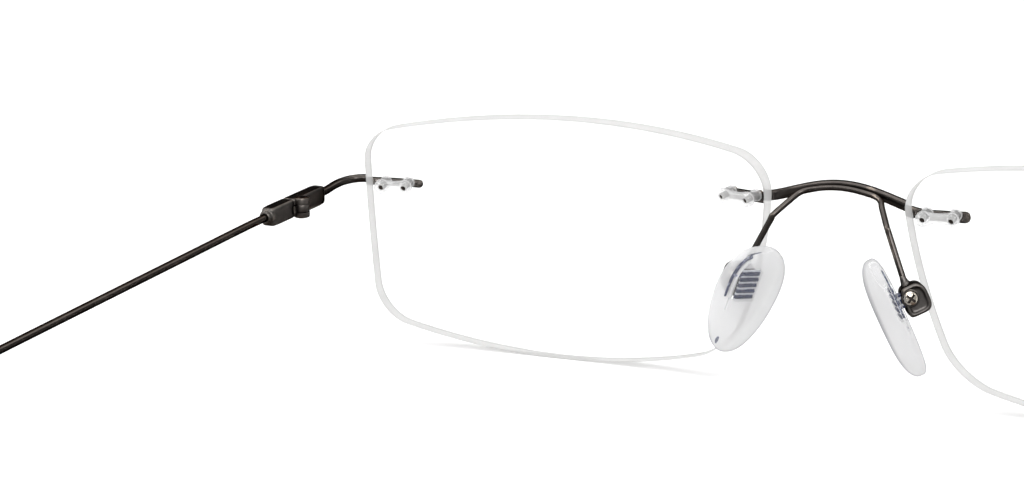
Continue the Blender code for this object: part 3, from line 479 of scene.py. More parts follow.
def catmull(points, per=6):
    """Smooth curve through points, with per steps between each two."""
    pts = [Vector(point) for point in points]
    pts = [pts[0] * 2 - pts[1]] + pts + [pts[-1] * 2 - pts[-2]]
    out = []
    for before, start, end, after in zip(pts, pts[1:], pts[2:], pts[3:]):
        for step in range(per):
            t = step / per
            out.append(0.5 * ((2 * start) + (end - before) * t
                              + (2 * before - 5 * start + 4 * end - after) * t * t
                              + (3 * start - before - 3 * end + after) * t ** 3))
    out.append(pts[-2])
    return out


def even(points, step):
    """The same path resampled at an even spacing."""
    run = [0.0]
    for start, end in zip(points, points[1:]):
        run.append(run[-1] + (end - start).length)
    count = max(2, round(run[-1] / step))
    out, k = [], 0
    for i in range(count + 1):
        want = run[-1] * i / count
        while k < len(run) - 2 and run[k + 1] < want:
            k += 1
        share = (want - run[k]) / max(run[k + 1] - run[k], 1e-9)
        out.append(points[k].lerp(points[k + 1], share))
    return out


def path_frames(points, up=Z):
    """(point, direction, sideways, upwards) at each point of a path."""
    out = []
    for i, point in enumerate(points):
        ahead = points[min(i + 1, len(points) - 1)]
        along = (ahead - points[max(i - 1, 0)]).normalized()
        side = along.cross(up).normalized()
        out.append((point, along, side, side.cross(along).normalized()))
    return out


# ---------------------------------------------------------------- bodies
def loft(rings):
    """Skin through equal rings; each end closed by a fan to its middle."""
    mesh = bmesh.new()
    rows = [[mesh.verts.new(point) for point in ring] for ring in rings]
    count = len(rows[0])
    for low, high in zip(rows, rows[1:]):
        for i in range(count):
            j = (i + 1) % count
            mesh.faces.new((low[i], low[j], high[j], high[i]))
    for row, flip in ((rows[0], True), (rows[-1], False)):
        hub = mesh.verts.new(sum((vert.co for vert in row), Vector()) / count)
        for i in range(count):
            j = (i + 1) % count
            mesh.faces.new((row[j], row[i], hub) if flip else (row[i], row[j], hub))
    return mesh


def axes_matrix(origin, z_axis):
    z = Vector(z_axis).normalized()
    hint = Y if abs(z.dot(X)) > 0.99 else X
    x = (hint - z * hint.dot(z)).normalized()
    matrix = Matrix((x, z.cross(x), z)).transposed().to_4x4()
    matrix.translation = Vector(origin)
    return matrix


def revolve(profile, origin, axis, segs=48):
    """Turned body from (radius, height) points; the first and last have a radius of 0."""
    matrix = axes_matrix(origin, axis)
    mesh = bmesh.new()
    rows = []
    for radius, height in profile:
        angles = circle(segs) if radius >= 1e-6 else [0.0]
        rows.append([mesh.verts.new(matrix @ Vector((radius * cos(angle), radius * sin(angle),
                                                     height))) for angle in angles])
    for low, high in zip(rows, rows[1:]):
        for i in range(segs):
            j = (i + 1) % segs
            if len(low) == 1:
                mesh.faces.new((low[0], high[j], high[i]))
            elif len(high) == 1:
                mesh.faces.new((low[i], low[j], high[0]))
            else:
                mesh.faces.new((low[i], low[j], high[j], high[i]))
    return mesh


def rod(start, end, radius, segs=40, dome=0.0):
    """Cylinder between two points with eased rims and, for dome above 0, domed ends."""
    height = (end - start).length
    ease = min(0.18 * radius, height / 4)
    half = [(0, -dome), (radius * 0.55, -dome * 0.7), (radius - ease, 0),
            (radius - ease * 0.3, ease * 0.3), (radius, ease)]
    profile = half + [(rad, height - z) for rad, z in reversed(half)]
    return revolve(profile, start, end - start, segs)


def block(origin, axes, low, high):
    """Box between two corners given along axes from origin."""
    mesh = bmesh.new()
    bmesh.ops.create_cube(mesh, size=1.0)
    for vert in mesh.verts:
        x, y, z = (low[i] + (vert.co[i] + 0.5) * (high[i] - low[i]) for i in range(3))
        vert.co = origin + axes[0] * x + axes[1] * y + axes[2] * z
    return mesh


def sweep(points, size, segs=28, up=Z):
    """Round-ended oval rod; size(f) gives (half width, half height) at share f of the run."""
    frames = path_frames(points, up)
    last = len(frames) - 1

    def ring(index, cap=0):
        """Section at a path point, or cap degrees round the end there."""
        point, along, side, rise = frames[index]
        wide, high = size(index / last)
        shrink = cos(radians(cap))
        centre = point + along * (sin(radians(cap)) * min(wide, high))
        return oval(centre, side, rise, wide * shrink, high * shrink, segs)
    return loft([ring(0, -cap) for cap in (75, 50, 25)] + [ring(i) for i in range(last + 1)]
                + [ring(last, cap) for cap in (25, 50, 75)])


# ---------------------------------------------------------------- objects and cuts
def smooth_shade(data, smooth):
    data.shade_smooth()
    data.set_sharp_from_angle(angle=radians(smooth))


def to_object(mesh, name, mats, smooth=40.0, facets=False):
    """Makes an object from a mesh in mm; edges sharper than smooth degrees stay sharp."""
    bmesh.ops.remove_doubles(mesh, verts=mesh.verts, dist=1e-5)
    if facets:
        bmesh.ops.triangulate(mesh, faces=mesh.faces)
    bmesh.ops.recalc_face_normals(mesh, faces=mesh.faces)
    if mesh.calc_volume(signed=True) < 0:
        bmesh.ops.reverse_faces(mesh, faces=mesh.faces)
    for vert in mesh.verts:
        vert.co = (vert.co + ORIGIN) * MM
    data = bpy.data.meshes.new(name)
    mesh.to_mesh(data)
    mesh.free()
    for mat in mats:
        data.materials.append(mat)
    smooth_shade(data, smooth)
    piece = bpy.data.objects.new(name, data)
    bpy.context.scene.collection.objects.link(piece)
    return piece


def bake(piece, smooth=40.0):
    """Applies the modifiers of a piece to its mesh."""
    bpy.context.view_layer.update()
    graph = bpy.context.evaluated_depsgraph_get()
    data = bpy.data.meshes.new_from_object(piece.evaluated_get(graph))
    piece.modifiers.clear()
    piece.data = data
    smooth_shade(data, smooth)


def heal(piece, smooth):
    """Welds slivers left along a cut and closes any pinhole."""
    mesh = bmesh.new()
    mesh.from_mesh(piece.data)
    bmesh.ops.remove_doubles(mesh, verts=mesh.verts, dist=2e-6)
    bmesh.ops.dissolve_degenerate(mesh, edges=mesh.edges, dist=1e-6)
    rim = [edge for edge in mesh.edges if edge.is_boundary]
    if rim:
        bmesh.ops.holes_fill(mesh, edges=rim, sides=0)
    wires = [edge for edge in mesh.edges if edge.is_wire]
    bmesh.ops.delete(mesh, geom=wires, context="EDGES")
    loose = [vert for vert in mesh.verts if not vert.link_faces]
    bmesh.ops.delete(mesh, geom=loose, context="VERTS")
    bmesh.ops.recalc_face_normals(mesh, faces=mesh.faces)
    mesh.to_mesh(piece.data)
    mesh.free()
    piece.data.set_sharp_from_angle(angle=radians(smooth))


def cut(piece, tools, operation="DIFFERENCE", smooth=40.0):
    """Booleans each tool mesh into a piece, then clears the tools away."""
    made = []
    for k, mesh in enumerate(tools):
        tool = to_object(mesh, f"{piece.name}_tool{k}", piece.data.materials[:], facets=True)
        made.append(tool)
        modifier = piece.modifiers.new(tool.name, "BOOLEAN")
        modifier.operation = operation
        modifier.solver = "EXACT"
        modifier.object = tool
    bake(piece, smooth)
    heal(piece, smooth)
    for tool in made:
        data = tool.data
        bpy.data.objects.remove(tool, do_unlink=True)
        bpy.data.meshes.remove(data)


def place(piece, body, slot, node):
    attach(piece, body)
    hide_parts(node)


# ---------------------------------------------------------------- lens geometry
def outline_gap(x, z):
    """Distance outside the lens outline; negative inside."""
    gaps = []
    for turn, (reach, lean, bow) in zip((0, 90, 180, 270), EDGES):
        angle = radians(turn + lean)
        out_x, out_z = cos(angle), sin(angle)
        radius = 1000.0 / bow
        dx, dz = x - out_x * reach, z - out_z * reach
        gaps.append(hypot(dx * out_x + dz * out_z + radius, -dx * out_z + dz * out_x) - radius)
    gap = max(gaps)
    for i, radius in enumerate(ROUNDS):
        here, after = gaps[i], gaps[(i + 1) % 4]
        if here > -radius and after > -radius:
            gap = max(gap, hypot(here + radius, after + radius) - radius)
    return gap


def outline_radius(angle):
    x, z = cos(angle), sin(angle)
    return bisect(5.0, 40.0, 40, lambda r: outline_gap(r * x, r * z) < 0)


def spaced_rim(count):
    """Evenly spaced (x, z) points round the lens outline."""
    pts = []
    for i in range(1081):
        angle = 2 * pi * i / 1080
        radius = outline_radius(angle)
        pts.append((radius * cos(angle), radius * sin(angle)))
    run = [0.0]
    for (x0, z0), (x1, z1) in zip(pts, pts[1:]):
        run.append(run[-1] + hypot(x1 - x0, z1 - z0))
    out, k = [], 0
    for i in range(count):
        want = run[-1] * i / count
        while run[k + 1] < want:
            k += 1
        share = (want - run[k]) / (run[k + 1] - run[k])
        out.append(tuple(pts[k][j] + share * (pts[k + 1][j] - pts[k][j]) for j in (0, 1)))
    return out


def sag(x, z):
    return LENS_RADIUS - sqrt(LENS_RADIUS ** 2 - x * x - z * z)


def lens_matrix(sign):
    return (Matrix.Translation(sided(LENS_CENTRE, sign))
            @ Matrix.Rotation(radians(LENS_WRAP) * sign, 4, "Z")
            @ Matrix.Rotation(radians(LENS_TILT), 4, "X"))


def local_normal(x, z):
    rad = LENS_RADIUS
    return Vector((-x / rad, sqrt(rad * rad - x * x - z * z) / rad, -z / rad))


def on_lens(sign, x, z, depth=0.0):
    """Frame point at depth behind the front face of a lens."""
    normal = local_normal(x, z)
    return lens_matrix(sign) @ Vector(((x + normal.x * depth) * sign,
                                       sag(x, z) + normal.y * depth, z + normal.z * depth))


def hole_points(sign, holes):
    """Front ends of a pair of holes, and their shared direction to the back."""
    first, second, z = holes
    normal = sided(local_normal((first + second) / 2, z), sign)
    normal = (lens_matrix(sign).to_3x3() @ normal).normalized()
    return [on_lens(sign, first, z), on_lens(sign, second, z)], normal


RIM = spaced_rim(300)
FACE_RINGS = (0.08, 0.25, 0.42, 0.58, 0.72, 0.84, 0.93)  # share of the outline
# (inset, depth) round the rim, from the front face to half depth and on to the back face
EDGE_FRONT = ((FACE_INSET, 0.0), (0.06, 0.006), (0.015, 0.04), (0.0, 0.10),
              (0.0, LENS_THICK * 0.35))
EDGE_BACK = ((0.0, LENS_THICK * 0.65),
             *((inset, LENS_THICK - depth) for inset, depth in reversed(EDGE_FRONT[:-1])))


def make_lens(sign):
    tag = SIDES[sign]
    matrix = lens_matrix(sign)

    def ring(scale, inset, depth):
        points = []
        for rim_x, rim_z in RIM:
            radius = hypot(rim_x, rim_z)
            share = scale * (radius - inset) / radius
            x, z = rim_x * share, rim_z * share
            points.append(matrix @ Vector((x * sign, sag(x, z) + depth, z)))
        return points
    rings = [ring(scale, 0.0, 0.0) for scale in FACE_RINGS]
    rings += [ring(1, inset, depth) for inset, depth in EDGE_FRONT + EDGE_BACK]
    rings += [ring(scale, 0.0, LENS_THICK) for scale in reversed(FACE_RINGS)]
    lens = to_object(loft(rings), "lens_polished_" + tag, [LENS_FACE, LENS_EDGE, LENS_BORE], 28)
    tools = []
    for holes in (NOSE_HOLES, TEMPLE_HOLES):
        points, normal = hole_points(sign, holes)
        tools += [rod(point - normal * 1.6, point + normal * (LENS_THICK + 1.6), 0.75)
                  for point in points]
    cut(lens, tools, smooth=28)
    mark_lens(lens.data, matrix.inverted(), sign)
    place(lens, "front", "lens_clear", "lens_" + tag)


def mark_lens(data, to_lens, sign):
    """Stores each vertex's share of the thickness; gives rim and bores their materials."""
    attribute = data.attributes.new("rim_depth", "FLOAT", "POINT")
    depths, gaps = [], []
    for vert in data.vertices:
        point = to_lens @ (vert.co * 1000 - ORIGIN)
        x, z = point.x * sign, point.z
        depths.append(max(0.0, min(1.0, (point.y - sag(x, z)) / LENS_THICK)))
        gaps.append(outline_gap(x, z))
    attribute.data.foreach_set("value", depths)
    for face in data.polygons:
        on_rim = all(gaps[i] > 0.004 - FACE_INSET for i in face.vertices)
        span = [depths[i] for i in face.vertices]
        bored = max(span) - min(span) > 0.2
        face.material_index = 1 if on_rim else (2 if bored else 0)


# ---------------------------------------------------------------- clear sleeves and pins
def figure_eight(half, lobe, waist, count):
    """Outline round two lobes at x = -half and half, joined by a waist."""
    def inside(x, y):
        return min(hypot(x - half, y) - lobe, hypot(x + half, y) - lobe,
                   max(abs(x) - half, abs(y) - (waist + 0.06 * x * x))) < 0
    out = []
    for angle in circle(count):
        x, y = cos(angle), sin(angle)
        reach = bisect(0.2, half + lobe + 0.5, 34, lambda r: inside(r * x, r * y))
        out.append((reach * x, reach * y))
    return out


def make_sleeve(sign, holes, which):
    """Plate behind the lens, two tubes through it and a collar at each tube's front end."""
    tag = SIDES[sign]
    points, normal = hole_points(sign, holes)
    mid = (points[0] + points[1]) / 2
    along = (points[1] - points[0]).normalized()
    across = normal.cross(along).normalized()
    half = (points[1] - points[0]).length / 2
    shape = figure_eight(half, lobe=0.95, waist=0.74, count=96)
    back = LENS_THICK + 0.05
    top = back + 0.90

    def ring(inset, height):
        out = []
        for x, y in shape:
            radius = hypot(x, y)
            share = (radius - inset) / radius
            out.append(mid + along * x * share + across * y * share + normal * height)
        return out
    plate = ((0.45, back), (0.10, back), (0.03, back + 0.03), (0.0, back + 0.10),
             (0.0, top - 0.24), (0.05, top - 0.11), (0.14, top - 0.03), (0.27, top), (0.5, top))
    collar = ((0, -0.33), (0.62, -0.33), (0.76, -0.27), (0.82, -0.17), (0.80, -0.06),
              (0.72, -0.02), (0, -0.02))
    boss = ((0, back + 0.35), (0.82, back + 0.35), (0.82, top - 0.06), (0.79, top + 0.04),
            (0.71, top + 0.09), (0.58, top + 0.11), (0, top + 0.11))
    sleeve = to_object(loft([ring(*row) for row in plate]), f"sleeve_plug_{which}_{tag}",
                       [SLEEVE], 50)
    add, bore = [], []
    for point in points:
        add += [rod(point - normal * 0.05, point + normal * (back + 0.2), 0.71),
                revolve(collar, point, normal, 40),
                revolve(boss, point, normal, 40)]
        bore += [rod(point - normal * 1.2, point + normal * (top - 0.24), 0.46, 32),
                 rod(point + normal * (top - 0.45), point + normal * (top + 1.2), 0.35, 32)]
    cut(sleeve, add, "UNION", 50)
    cut(sleeve, bore, smooth=50)
    place(sleeve, "front", "sleeve_clear", f"sleeve_{which}_{tag}")


def pins(sign, holes):
    """The barbed pins through one pair of holes, from the metal to the sleeve's back."""
    points, normal = hole_points(sign, holes)
    front, back, radius = -(BAR_STANDOFF + 0.55), LENS_THICK + 0.68, 0.40
    profile = [(0, front), (radius, front), (radius, 0.4)]
    for k in range(4):
        barb = 0.5 + k * 0.62
        profile += [(radius, barb), (0.30, barb + 0.10), (radius, barb + 0.46)]
    profile += [(radius, back - 0.10), (0.33, back - 0.02), (0.20, back), (0, back)]
    return [revolve(profile, point, normal, 32) for point in points]


# ---------------------------------------------------------------- bridge bar and pad arms
def bar_height(x):
    reach = min(abs(x) / BAR_ARCH_HALF, 1.0)
    return BAR_Z_LENS + BAR_ARCH_RISE * (0.5 + 0.5 * cos(pi * reach)) ** 0.7


def depth_by_lens(x):
    """y of the bar's middle where it stands off the lens front at x."""
    def at(lens_x):
        return on_lens(1, lens_x, BAR_Z_LENS - LENS_CENTRE[2], -(BAR_STANDOFF + BAR_HALF_D))
    return at(bisect(-38.0, -10.0, 40, lambda lens_x: at(lens_x).x < x)).y


def bar_depth(x):
    x, edge = abs(x), BAR_LENS_X
    if x >= edge:
        return depth_by_lens(x)
    edge_y = depth_by_lens(edge)
    slope = (depth_by_lens(edge + 0.2) - edge_y) / 0.2
    return edge_y - slope * BAR_BOW * (edge * edge - x * x) / (2 * edge)


def make_bar():
    points = []
    for i in range(111):
        share = 2 * i / 110 - 1
        # stations draw closer together towards the ends
        x = BAR_END_X * sin(0.5 * pi * share) * 0.35 + BAR_END_X * share * 0.65
        points.append(Vector((x, bar_depth(x), bar_height(x))))
    rings = []
    for point, _, side, rise in path_frames(points):
        gap = BAR_END_X - abs(point.x)
        # rounded ends, a slight swell beside them, slimmer at the middle
        taper = sqrt(max(1 - (1 - min(gap / 0.72, 1.0)) ** 2, 0.0)) * 0.97 + 0.03
        swell = 1.0 + 0.06 * exp(-((gap - 0.8) / 0.9) ** 2)
        slim = 0.94 + 0.06 * min(1.0, abs(point.x) / 8.0)
        rings.append([point + side * wide * taper + rise * high * taper * swell * slim
                      for wide, high in super_section(40, BAR_HALF_D, BAR_HALF_H, 2.9)])
    bar = to_object(loft(rings), "bridge_bar_satin", [WIRE_METAL], 50)
    cut(bar, pins(1, NOSE_HOLES) + pins(-1, NOSE_HOLES), "UNION", 50)
    place(bar, "front", "gunmetal_wire", "bridge_bar")


def pad_point(sign, high, near, wide):
    """Frame point from pad coordinates: up, nose, side."""
    up, nose, side, pivot = pad_axes(sign)
    return pivot + up * high + nose * near + side * wide


def arm_end(sign):
    return pad_point(sign, BOX_TOP + 0.05, -0.25, -0.35)


def make_pad_arms():
    """One wire from box to box, behind the bar."""
    half = [Vector((x, bar_depth(x) + ARM_BEHIND, bar_height(x) - 0.1))
            for x in (0.0, 1.6, 3.2, 4.6)]
    half.append(Vector((5.5, bar_depth(5.5) + ARM_BEHIND + 0.55, bar_height(5.5) - 0.2)))
    end, up = arm_end(1), pad_axes(1)[0]
    half += [Vector((6.15, 4.05, 25.0)), PAD_KINK, PAD_KINK.lerp(end + up * 0.6, 0.12),
             PAD_KINK.lerp(end + up * 0.6, 0.8), end + up * 0.4, end]
    other = [sided(point, -1) for point in reversed(half[1:])]
    step = 0.3
    path = even(catmull(other + half, 8), step)
    total = (len(path) - 1) * step

    def size(share):
        """Round, but pressed slightly oval 6.9 mm from each end."""
        run = min(share, 1 - share) * total
        press = exp(-((run - 6.9) / 0.55) ** 2) * 0.03
        return ARM_R - press, ARM_R + press
    wire = to_object(sweep(path, size), "pad_arm_wire_satin", [WIRE_METAL], 50)
    place(wire, "front", "gunmetal_wire", "pad_arm_wire")


# ---------------------------------------------------------------- pad boxes, screws, pads
def pad_block(sign, low, high):
    """Box between two corners given as (nose, up, side)."""
    up, nose, side, pivot = pad_axes(sign)
    return block(pivot, (nose, up, side), low, high)


def pad_bore(sign):
    _, _, side, pivot = pad_axes(sign)
    return rod(pivot - side * 3, pivot + side * 3, PAD_BORE_R)


def box_outline(grow):
    """Rounded-square outline of the pad box in (nose, up), rounder away from the nose."""
    powers = {(True, True): 4.0, (False, True): 2.7, (True, False): 7.0, (False, False): 3.4}
    out = []
    for angle in circle(88):
        x, y = super_point(angle, powers[cos(angle) > 0, sin(angle) > 0])
        out.append((-0.62 + x * (1.60 + grow), -0.44 + y * (1.96 + grow)))
    return out


def make_pad_box(sign):
    tag = SIDES[sign]
    up, nose, side, pivot = pad_axes(sign)
    half = BOX_HALF_T
    # (outline growth, place along side)
    rows = ((-0.55, -half), (-0.25, -half), (-0.08, -half + 0.06), (0.0, -half + 0.25),
            (0.0, 0.0), (0.0, half - 0.42), (-0.05, half - 0.22), (-0.15, half - 0.07),
            (-0.26, half), (-0.34, half), (-0.42, half - 0.05), (-0.50, half - 0.20),
            (-0.60, half - 0.31), (-0.75, half - 0.33), (-1.05, half - 0.33))
    rings = [[pivot + nose * near + up * high + side * wide for near, high in box_outline(grow)]
             for grow, wide in rows]
    box = to_object(loft(rings), "pad_box_satin_" + tag, [BLOCK_METAL], 45)
    # raised seat round the screw, shoulder up to the wire
    seat = revolve(((0, half - 0.6), (1.13, half - 0.6), (1.16, half - 0.24), (1.10, half - 0.15),
                    (1.03, half - 0.13), (0, half - 0.13)), pivot, side)
    end, base = arm_end(sign), pad_point(sign, 0.9, -0.42, -0.1)

    def size(share):
        taper = (1 - share) ** 1.6
        return 0.86 * taper + 0.40, 0.92 * taper + 0.40
    shoulder = sweep([base, base.lerp(end, 0.45), end.lerp(base, 0.12), end + up * 0.35,
                      end + up * 0.8], size, 32, side)
    cut(box, [seat, shoulder], "UNION", 45)
    cavity = pad_block(sign, (-1.30, -1.70, -0.98), (3.0, 1.05, 0.98))
    recess = revolve(((0, half - 0.22), (1.0, half - 0.22), (1.0, half + 1.0), (0, half + 1.0)),
                     pivot, side)
    cut(box, [cavity, pad_bore(sign), recess], smooth=45)
    place(box, "front", "gunmetal_block", "pad_box_" + tag)


def make_pad_screw(sign):
    tag = SIDES[sign]
    up, nose, side, pivot = pad_axes(sign)
    seat, rad = BOX_HALF_T - 0.18, PAD_SCREW_R
    profile = [(0, seat + 0.58), (0.30, seat + 0.565), (0.58, seat + 0.50), (0.78, seat + 0.38),
               (0.90, seat + 0.22), (0.945, seat + 0.08), (0.93, seat), (rad, seat)]
    z = seat - 0.35
    while z > -1.3:  # thread
        profile += [(rad, z), (0.44, z - 0.07), (rad, z - 0.14)]
        z -= 0.22
    profile += [(0.48, -1.50), (0.38, -1.62), (0, -1.64)]
    screw = to_object(revolve(profile, pivot, side, 56), "pad_screw_nickel_" + tag,
                      [NICKEL, SCREW_DARK_AND_SLOT_SHADE], 35)
    top = pivot + side * (seat + 0.58)
    first = (up + nose * 0.6).normalized()
    second = side.cross(first).normalized()
    # cross slot; its walls take the dark screw metal as painted shade in the recess
    slots = [block(top, (first, second, side), (-0.66, -0.15, -0.36), (0.66, 0.15, 0.5)),
             block(top, (second, first, side), (-0.66, -0.15, -0.36), (0.64, 0.15, 0.47))]
    for slot in slots:
        use_second_material(slot)
    cut(screw, slots, smooth=35)
    place(screw, "front", "nickel_screw", "pad_screw_" + tag)


def use_second_material(mesh):
    for face in mesh.faces:
        face.material_index = 1


def pad_outline(count):
    """(up, side) outline of a pad, wider and leaning over towards its top."""
    out = []
    for angle in circle(count):
        x, y = super_point(angle, 2.25)
        out.append((y * PAD_HALF_L, x * PAD_HALF_W * (1 + 0.21 * y) - 0.3 - 0.30 * y))
    return out


# Curved streaks in the pad beside its core, the outer navy one a painted reflection of the core in
# the pad's edge: points (up, side), height towards the nose, half width
PAD_STREAKS = (
    (((4.3, 0.75), (3.9, 1.45), (2.9, 2.15), (1.2, 2.62), (-0.9, 2.72), (-1.5, 2.70)), 1.80, 0.30),
    (((3.5, 0.85), (2.9, 1.30), (1.6, 1.85), (0.0, 2.05), (-1.8, 2.02), (-3.6, 1.95)), 1.80, 0.19),
)


def streak_path(sign, points, height):
    return even(catmull([pad_point(sign, high, height, wide) for high, wide in points]), 0.35)


def make_pad(sign):
    tag = SIDES[sign]
    mid_up, mid_nose, mid_side = PAD_CENTRE
    # (share of the outline, height towards the nose): domed face, rim, flatter back
    rows, rim_low = [], 0.35
    for i in range(1, 15):
        share = sin(0.5 * pi * i / 14.6)
        rows.append((share, PAD_DOME * (1 - share ** 3.6) ** 0.5))
    rows += [(0.998, 0.02), (1.0, -rim_low)]
    for i in range(12, 0, -1):
        share = sin(0.5 * pi * i / 12.8)
        rows.append((share, -rim_low - (PAD_HALF_T - rim_low) * (1 - share ** 6) ** 0.4))
    outline = pad_outline(112)
    rings = [[pad_point(sign, mid_up + high * share, mid_nose + lift, mid_side + wide * share)
              for high, wide in outline] for share, lift in rows]
    pad = to_object(loft(rings), "nose_pad_silicone_" + tag, [PAD[sign], PAD_POCKET], 60)
    # grooves for the curved streaks and the lug on the outer one, then the pocket for the core
    nose, clear = pad_axes(sign)[1], 0.08
    half_l, half_w = CORE_HALF_L + clear, CORE_HALF_W + clear
    hollows = [sweep(streak_path(sign, points, height), lambda _: (half + 0.06, 0.16), 16, nose)
               for points, height, half in PAD_STREAKS]
    hollows.append(pad_block(sign, (1.60, 1.30, 0.1), (1.98, 1.75, 2.45)))
    hollows.append(pad_block(sign, (0.7, -half_l, -half_w), (2.18, half_l, half_w)))
    for hollow in hollows:
        use_second_material(hollow)
        cut(pad, [hollow], smooth=60)
    place(pad, "pad_" + tag, "pad_clear", "nose_pad_" + tag)


def make_core(sign):
    """Core plate with rolled ridges, the tang into the box, and two curved streaks beside it, the
    outer navy one a painted reflection of the core.
    """
    tag = SIDES[sign]
    up, nose, side, pivot = pad_axes(sign)
    plate = pad_block(sign, (1.50, -CORE_HALF_L, -CORE_HALF_W), (1.86, CORE_HALF_L, CORE_HALF_W))
    core = to_object(plate, "pad_core_ridged_" + tag, [core_material(sign)])
    bevel = core.modifiers.new("round", "BEVEL")
    bevel.width = 0.10 * MM
    bevel.segments = 2
    bevel.limit_method = "ANGLE"
    bevel.angle_limit = radians(35.0)
    bake(core)
    add = []
    for k in range(5):
        mid = pivot + up * ((k - 2) * RIDGE_PITCH) + nose * 1.84
        half = 1.20 if k < 4 else 0.9
        add.append(rod(mid - side * half, mid + side * half, 0.25, 24, dome=0.05))
    add.append(pad_block(sign, (-0.80, -0.85, -0.85), (1.7, 0.85, 0.85)))
    cut(core, add, "UNION")
    cut(core, [pad_bore(sign)])
    place(core, "pad_" + tag, "insert_metal", "nose_pad_insert_" + tag)
    for name, mat, (points, height, half) in zip(("outer", "inner"), (NAVY_CORE_REFLECTION, PALE_STREAK),
                                                 PAD_STREAKS):
        shape = sweep(streak_path(sign, points, height),
                      lambda share: (half * (1 - 0.45 * share * share), 0.10), 16, nose)
        streak = to_object(shape, f"pad_core_rib_{name}_{tag}", [mat], 60)
        if name == "outer":
            cut(streak, [pad_block(sign, (1.72, 1.40, 1.20), (1.86, 1.62, 2.36))], "UNION", 60)
        place(streak, "pad_" + tag, "insert_metal", "nose_pad_insert_" + tag)


# ---------------------------------------------------------------- endpieces
# Wire middles: lens (x, z) where it lies along the lens, then frame points back to the hinge
END_ON_LENS = ((21.45, 3.97), (23.2, 4.05), (25.0, 4.12), (26.5, 4.15))
END_BEHIND = ((67.55, 4.55, 21.74), (68.75, 5.25, 21.70), (69.62, 6.55, 21.60),
              (69.95, 8.2, 21.45), (WIRE_X, 10.6, WIRE_Z), (WIRE_X, 14.4, WIRE_Z))


def make_endpiece(sign):
    tag = SIDES[sign]
    points = [on_lens(sign, x, z, -(BAR_STANDOFF + END_R)) for x, z in END_ON_LENS]
    points += [sided(point, sign) for point in END_BEHIND]
    path = even(catmull(points, 8), 0.3)
    wire = to_object(sweep(path, lambda _: (END_R, END_R), 36), "endpiece_wire_satin_" + tag,
                     [WIRE_METAL], 50)
    cut(wire, pins(sign, TEMPLE_HOLES), "UNION", 50)
    place(wire, "front", "gunmetal_wire", "endpiece_" + tag)


# ---------------------------------------------------------------- hinges
def rounded_block(sign, front, rear, front_taper, rear_taper):
    """Block lofted along Y with soft long edges and tapered, rounded ends."""
    mid_z = (BLOCK_Z0 + BLOCK_Z1) / 2
    half_h = (BLOCK_Z1 - BLOCK_Z0) / 2
    insets = (0, 0.05, 0.14, 0.28, 0.5, 0.9, 1.4)

    def shrink(run):
        reach = 0.5
        return 1 - sqrt(max(0.0, 1 - (1 - run / reach) ** 2)) if run < reach else 0.0

    def slope(run, taper, depth):
        return depth * max(0.0, 1 - run / 1.4) if taper > 0.3 else 0.0
    rings = []
    for y in [front + run for run in insets] + [rear - run for run in reversed(insets)]:
        fore, aft = y - front, rear - y
        ease = front_taper * shrink(fore) + rear_taper * shrink(aft)
        lean, back_lean = slope(fore, front_taper, 0.10), slope(aft, rear_taper, 0.06)
        section = super_section(56, BLOCK_HALF_W - ease * 0.9 - lean - back_lean,
                                half_h - ease - lean - back_lean, 6.5)
        rings.append([Vector(((WIRE_X + x) * sign, y, mid_z + z)) for x, z in section])
    return loft(rings)


def hinge_bore(axis):
    return rod(axis + Z * (KNUCKLE_Z0 - 1), axis + Z * (BLOCK_Z1 + 1), 0.48)


def make_hinge_front(sign, axis, wire):
    """Front block with a slotted knuckle; axis and wire are points on the two bores."""
    tag = SIDES[sign]
    shape = rounded_block(sign, FRONT_Y0, FRONT_Y1, 0.38, 0.10)
    front = to_object(shape, "hinge_front_satin_" + tag, [BLOCK_METAL])
    low, top = KNUCKLE_Z0, BLOCK_Z1
    knuckle = ((0, low), (0.80, low), (0.95, low + 0.06), (1.0, low + 0.2), (1.0, top - 0.17),
               (0.95, top - 0.06), (0.86, top - 0.03), (0, top - 0.03))
    cut(front, [revolve(knuckle, axis, Z, 56)], "UNION")
    cut(front, [block(axis, (X * sign, Y, Z), (-1.6, -1.08, SLOT_Z0), (1.05, 1.6, SLOT_Z1)),
                hinge_bore(axis),
                rod(axis + Z * (top - 0.42), axis + Z * (top + 1), 0.82, 48),
                rod(wire + Y * (FRONT_Y0 - 1), wire + Y * 14.6, END_R + 0.05)])
    place(front, "front", "gunmetal_block", "hinge_block_front_" + tag)


def make_hinge_rear(sign, axis, wire):
    """Rear block with a tongue in the slot and a grooved collar round the temple wire."""
    tag = SIDES[sign]
    shape = rounded_block(sign, REAR_Y0, REAR_Y1, 0.10, 0.40)
    rear = to_object(shape, "hinge_rear_satin_" + tag, [BLOCK_METAL])
    low, high = SLOT_Z0 + 0.05, SLOT_Z1 - 0.05
    collar = ((0, 0), (0.98, 0), (0.98, 0.52), (0.90, 0.60), (0.80, 0.61), (0.80, 0.72),
              (0.86, 0.76), (0.86, 0.86), (0.78, 0.90), (0.78, 1.0), (0.70, 1.07), (0, 1.07))
    cut(rear, [rod(axis + Z * low, axis + Z * high, 0.98, 56),
               block(axis, (X * sign, Y, Z), (0.0, 0.0, low), (0.93, 1.9, high)),
               revolve(collar, wire + Y * (REAR_Y1 - 0.5), Y)], "UNION")
    cut(rear, [hinge_bore(axis),
               rod(wire + Y * 21.55, wire + Y * (REAR_Y1 + 2), TEMPLE_R + 0.05)])
    place(rear, "temple_" + tag, "gunmetal_block", "hinge_block_temple_" + tag)


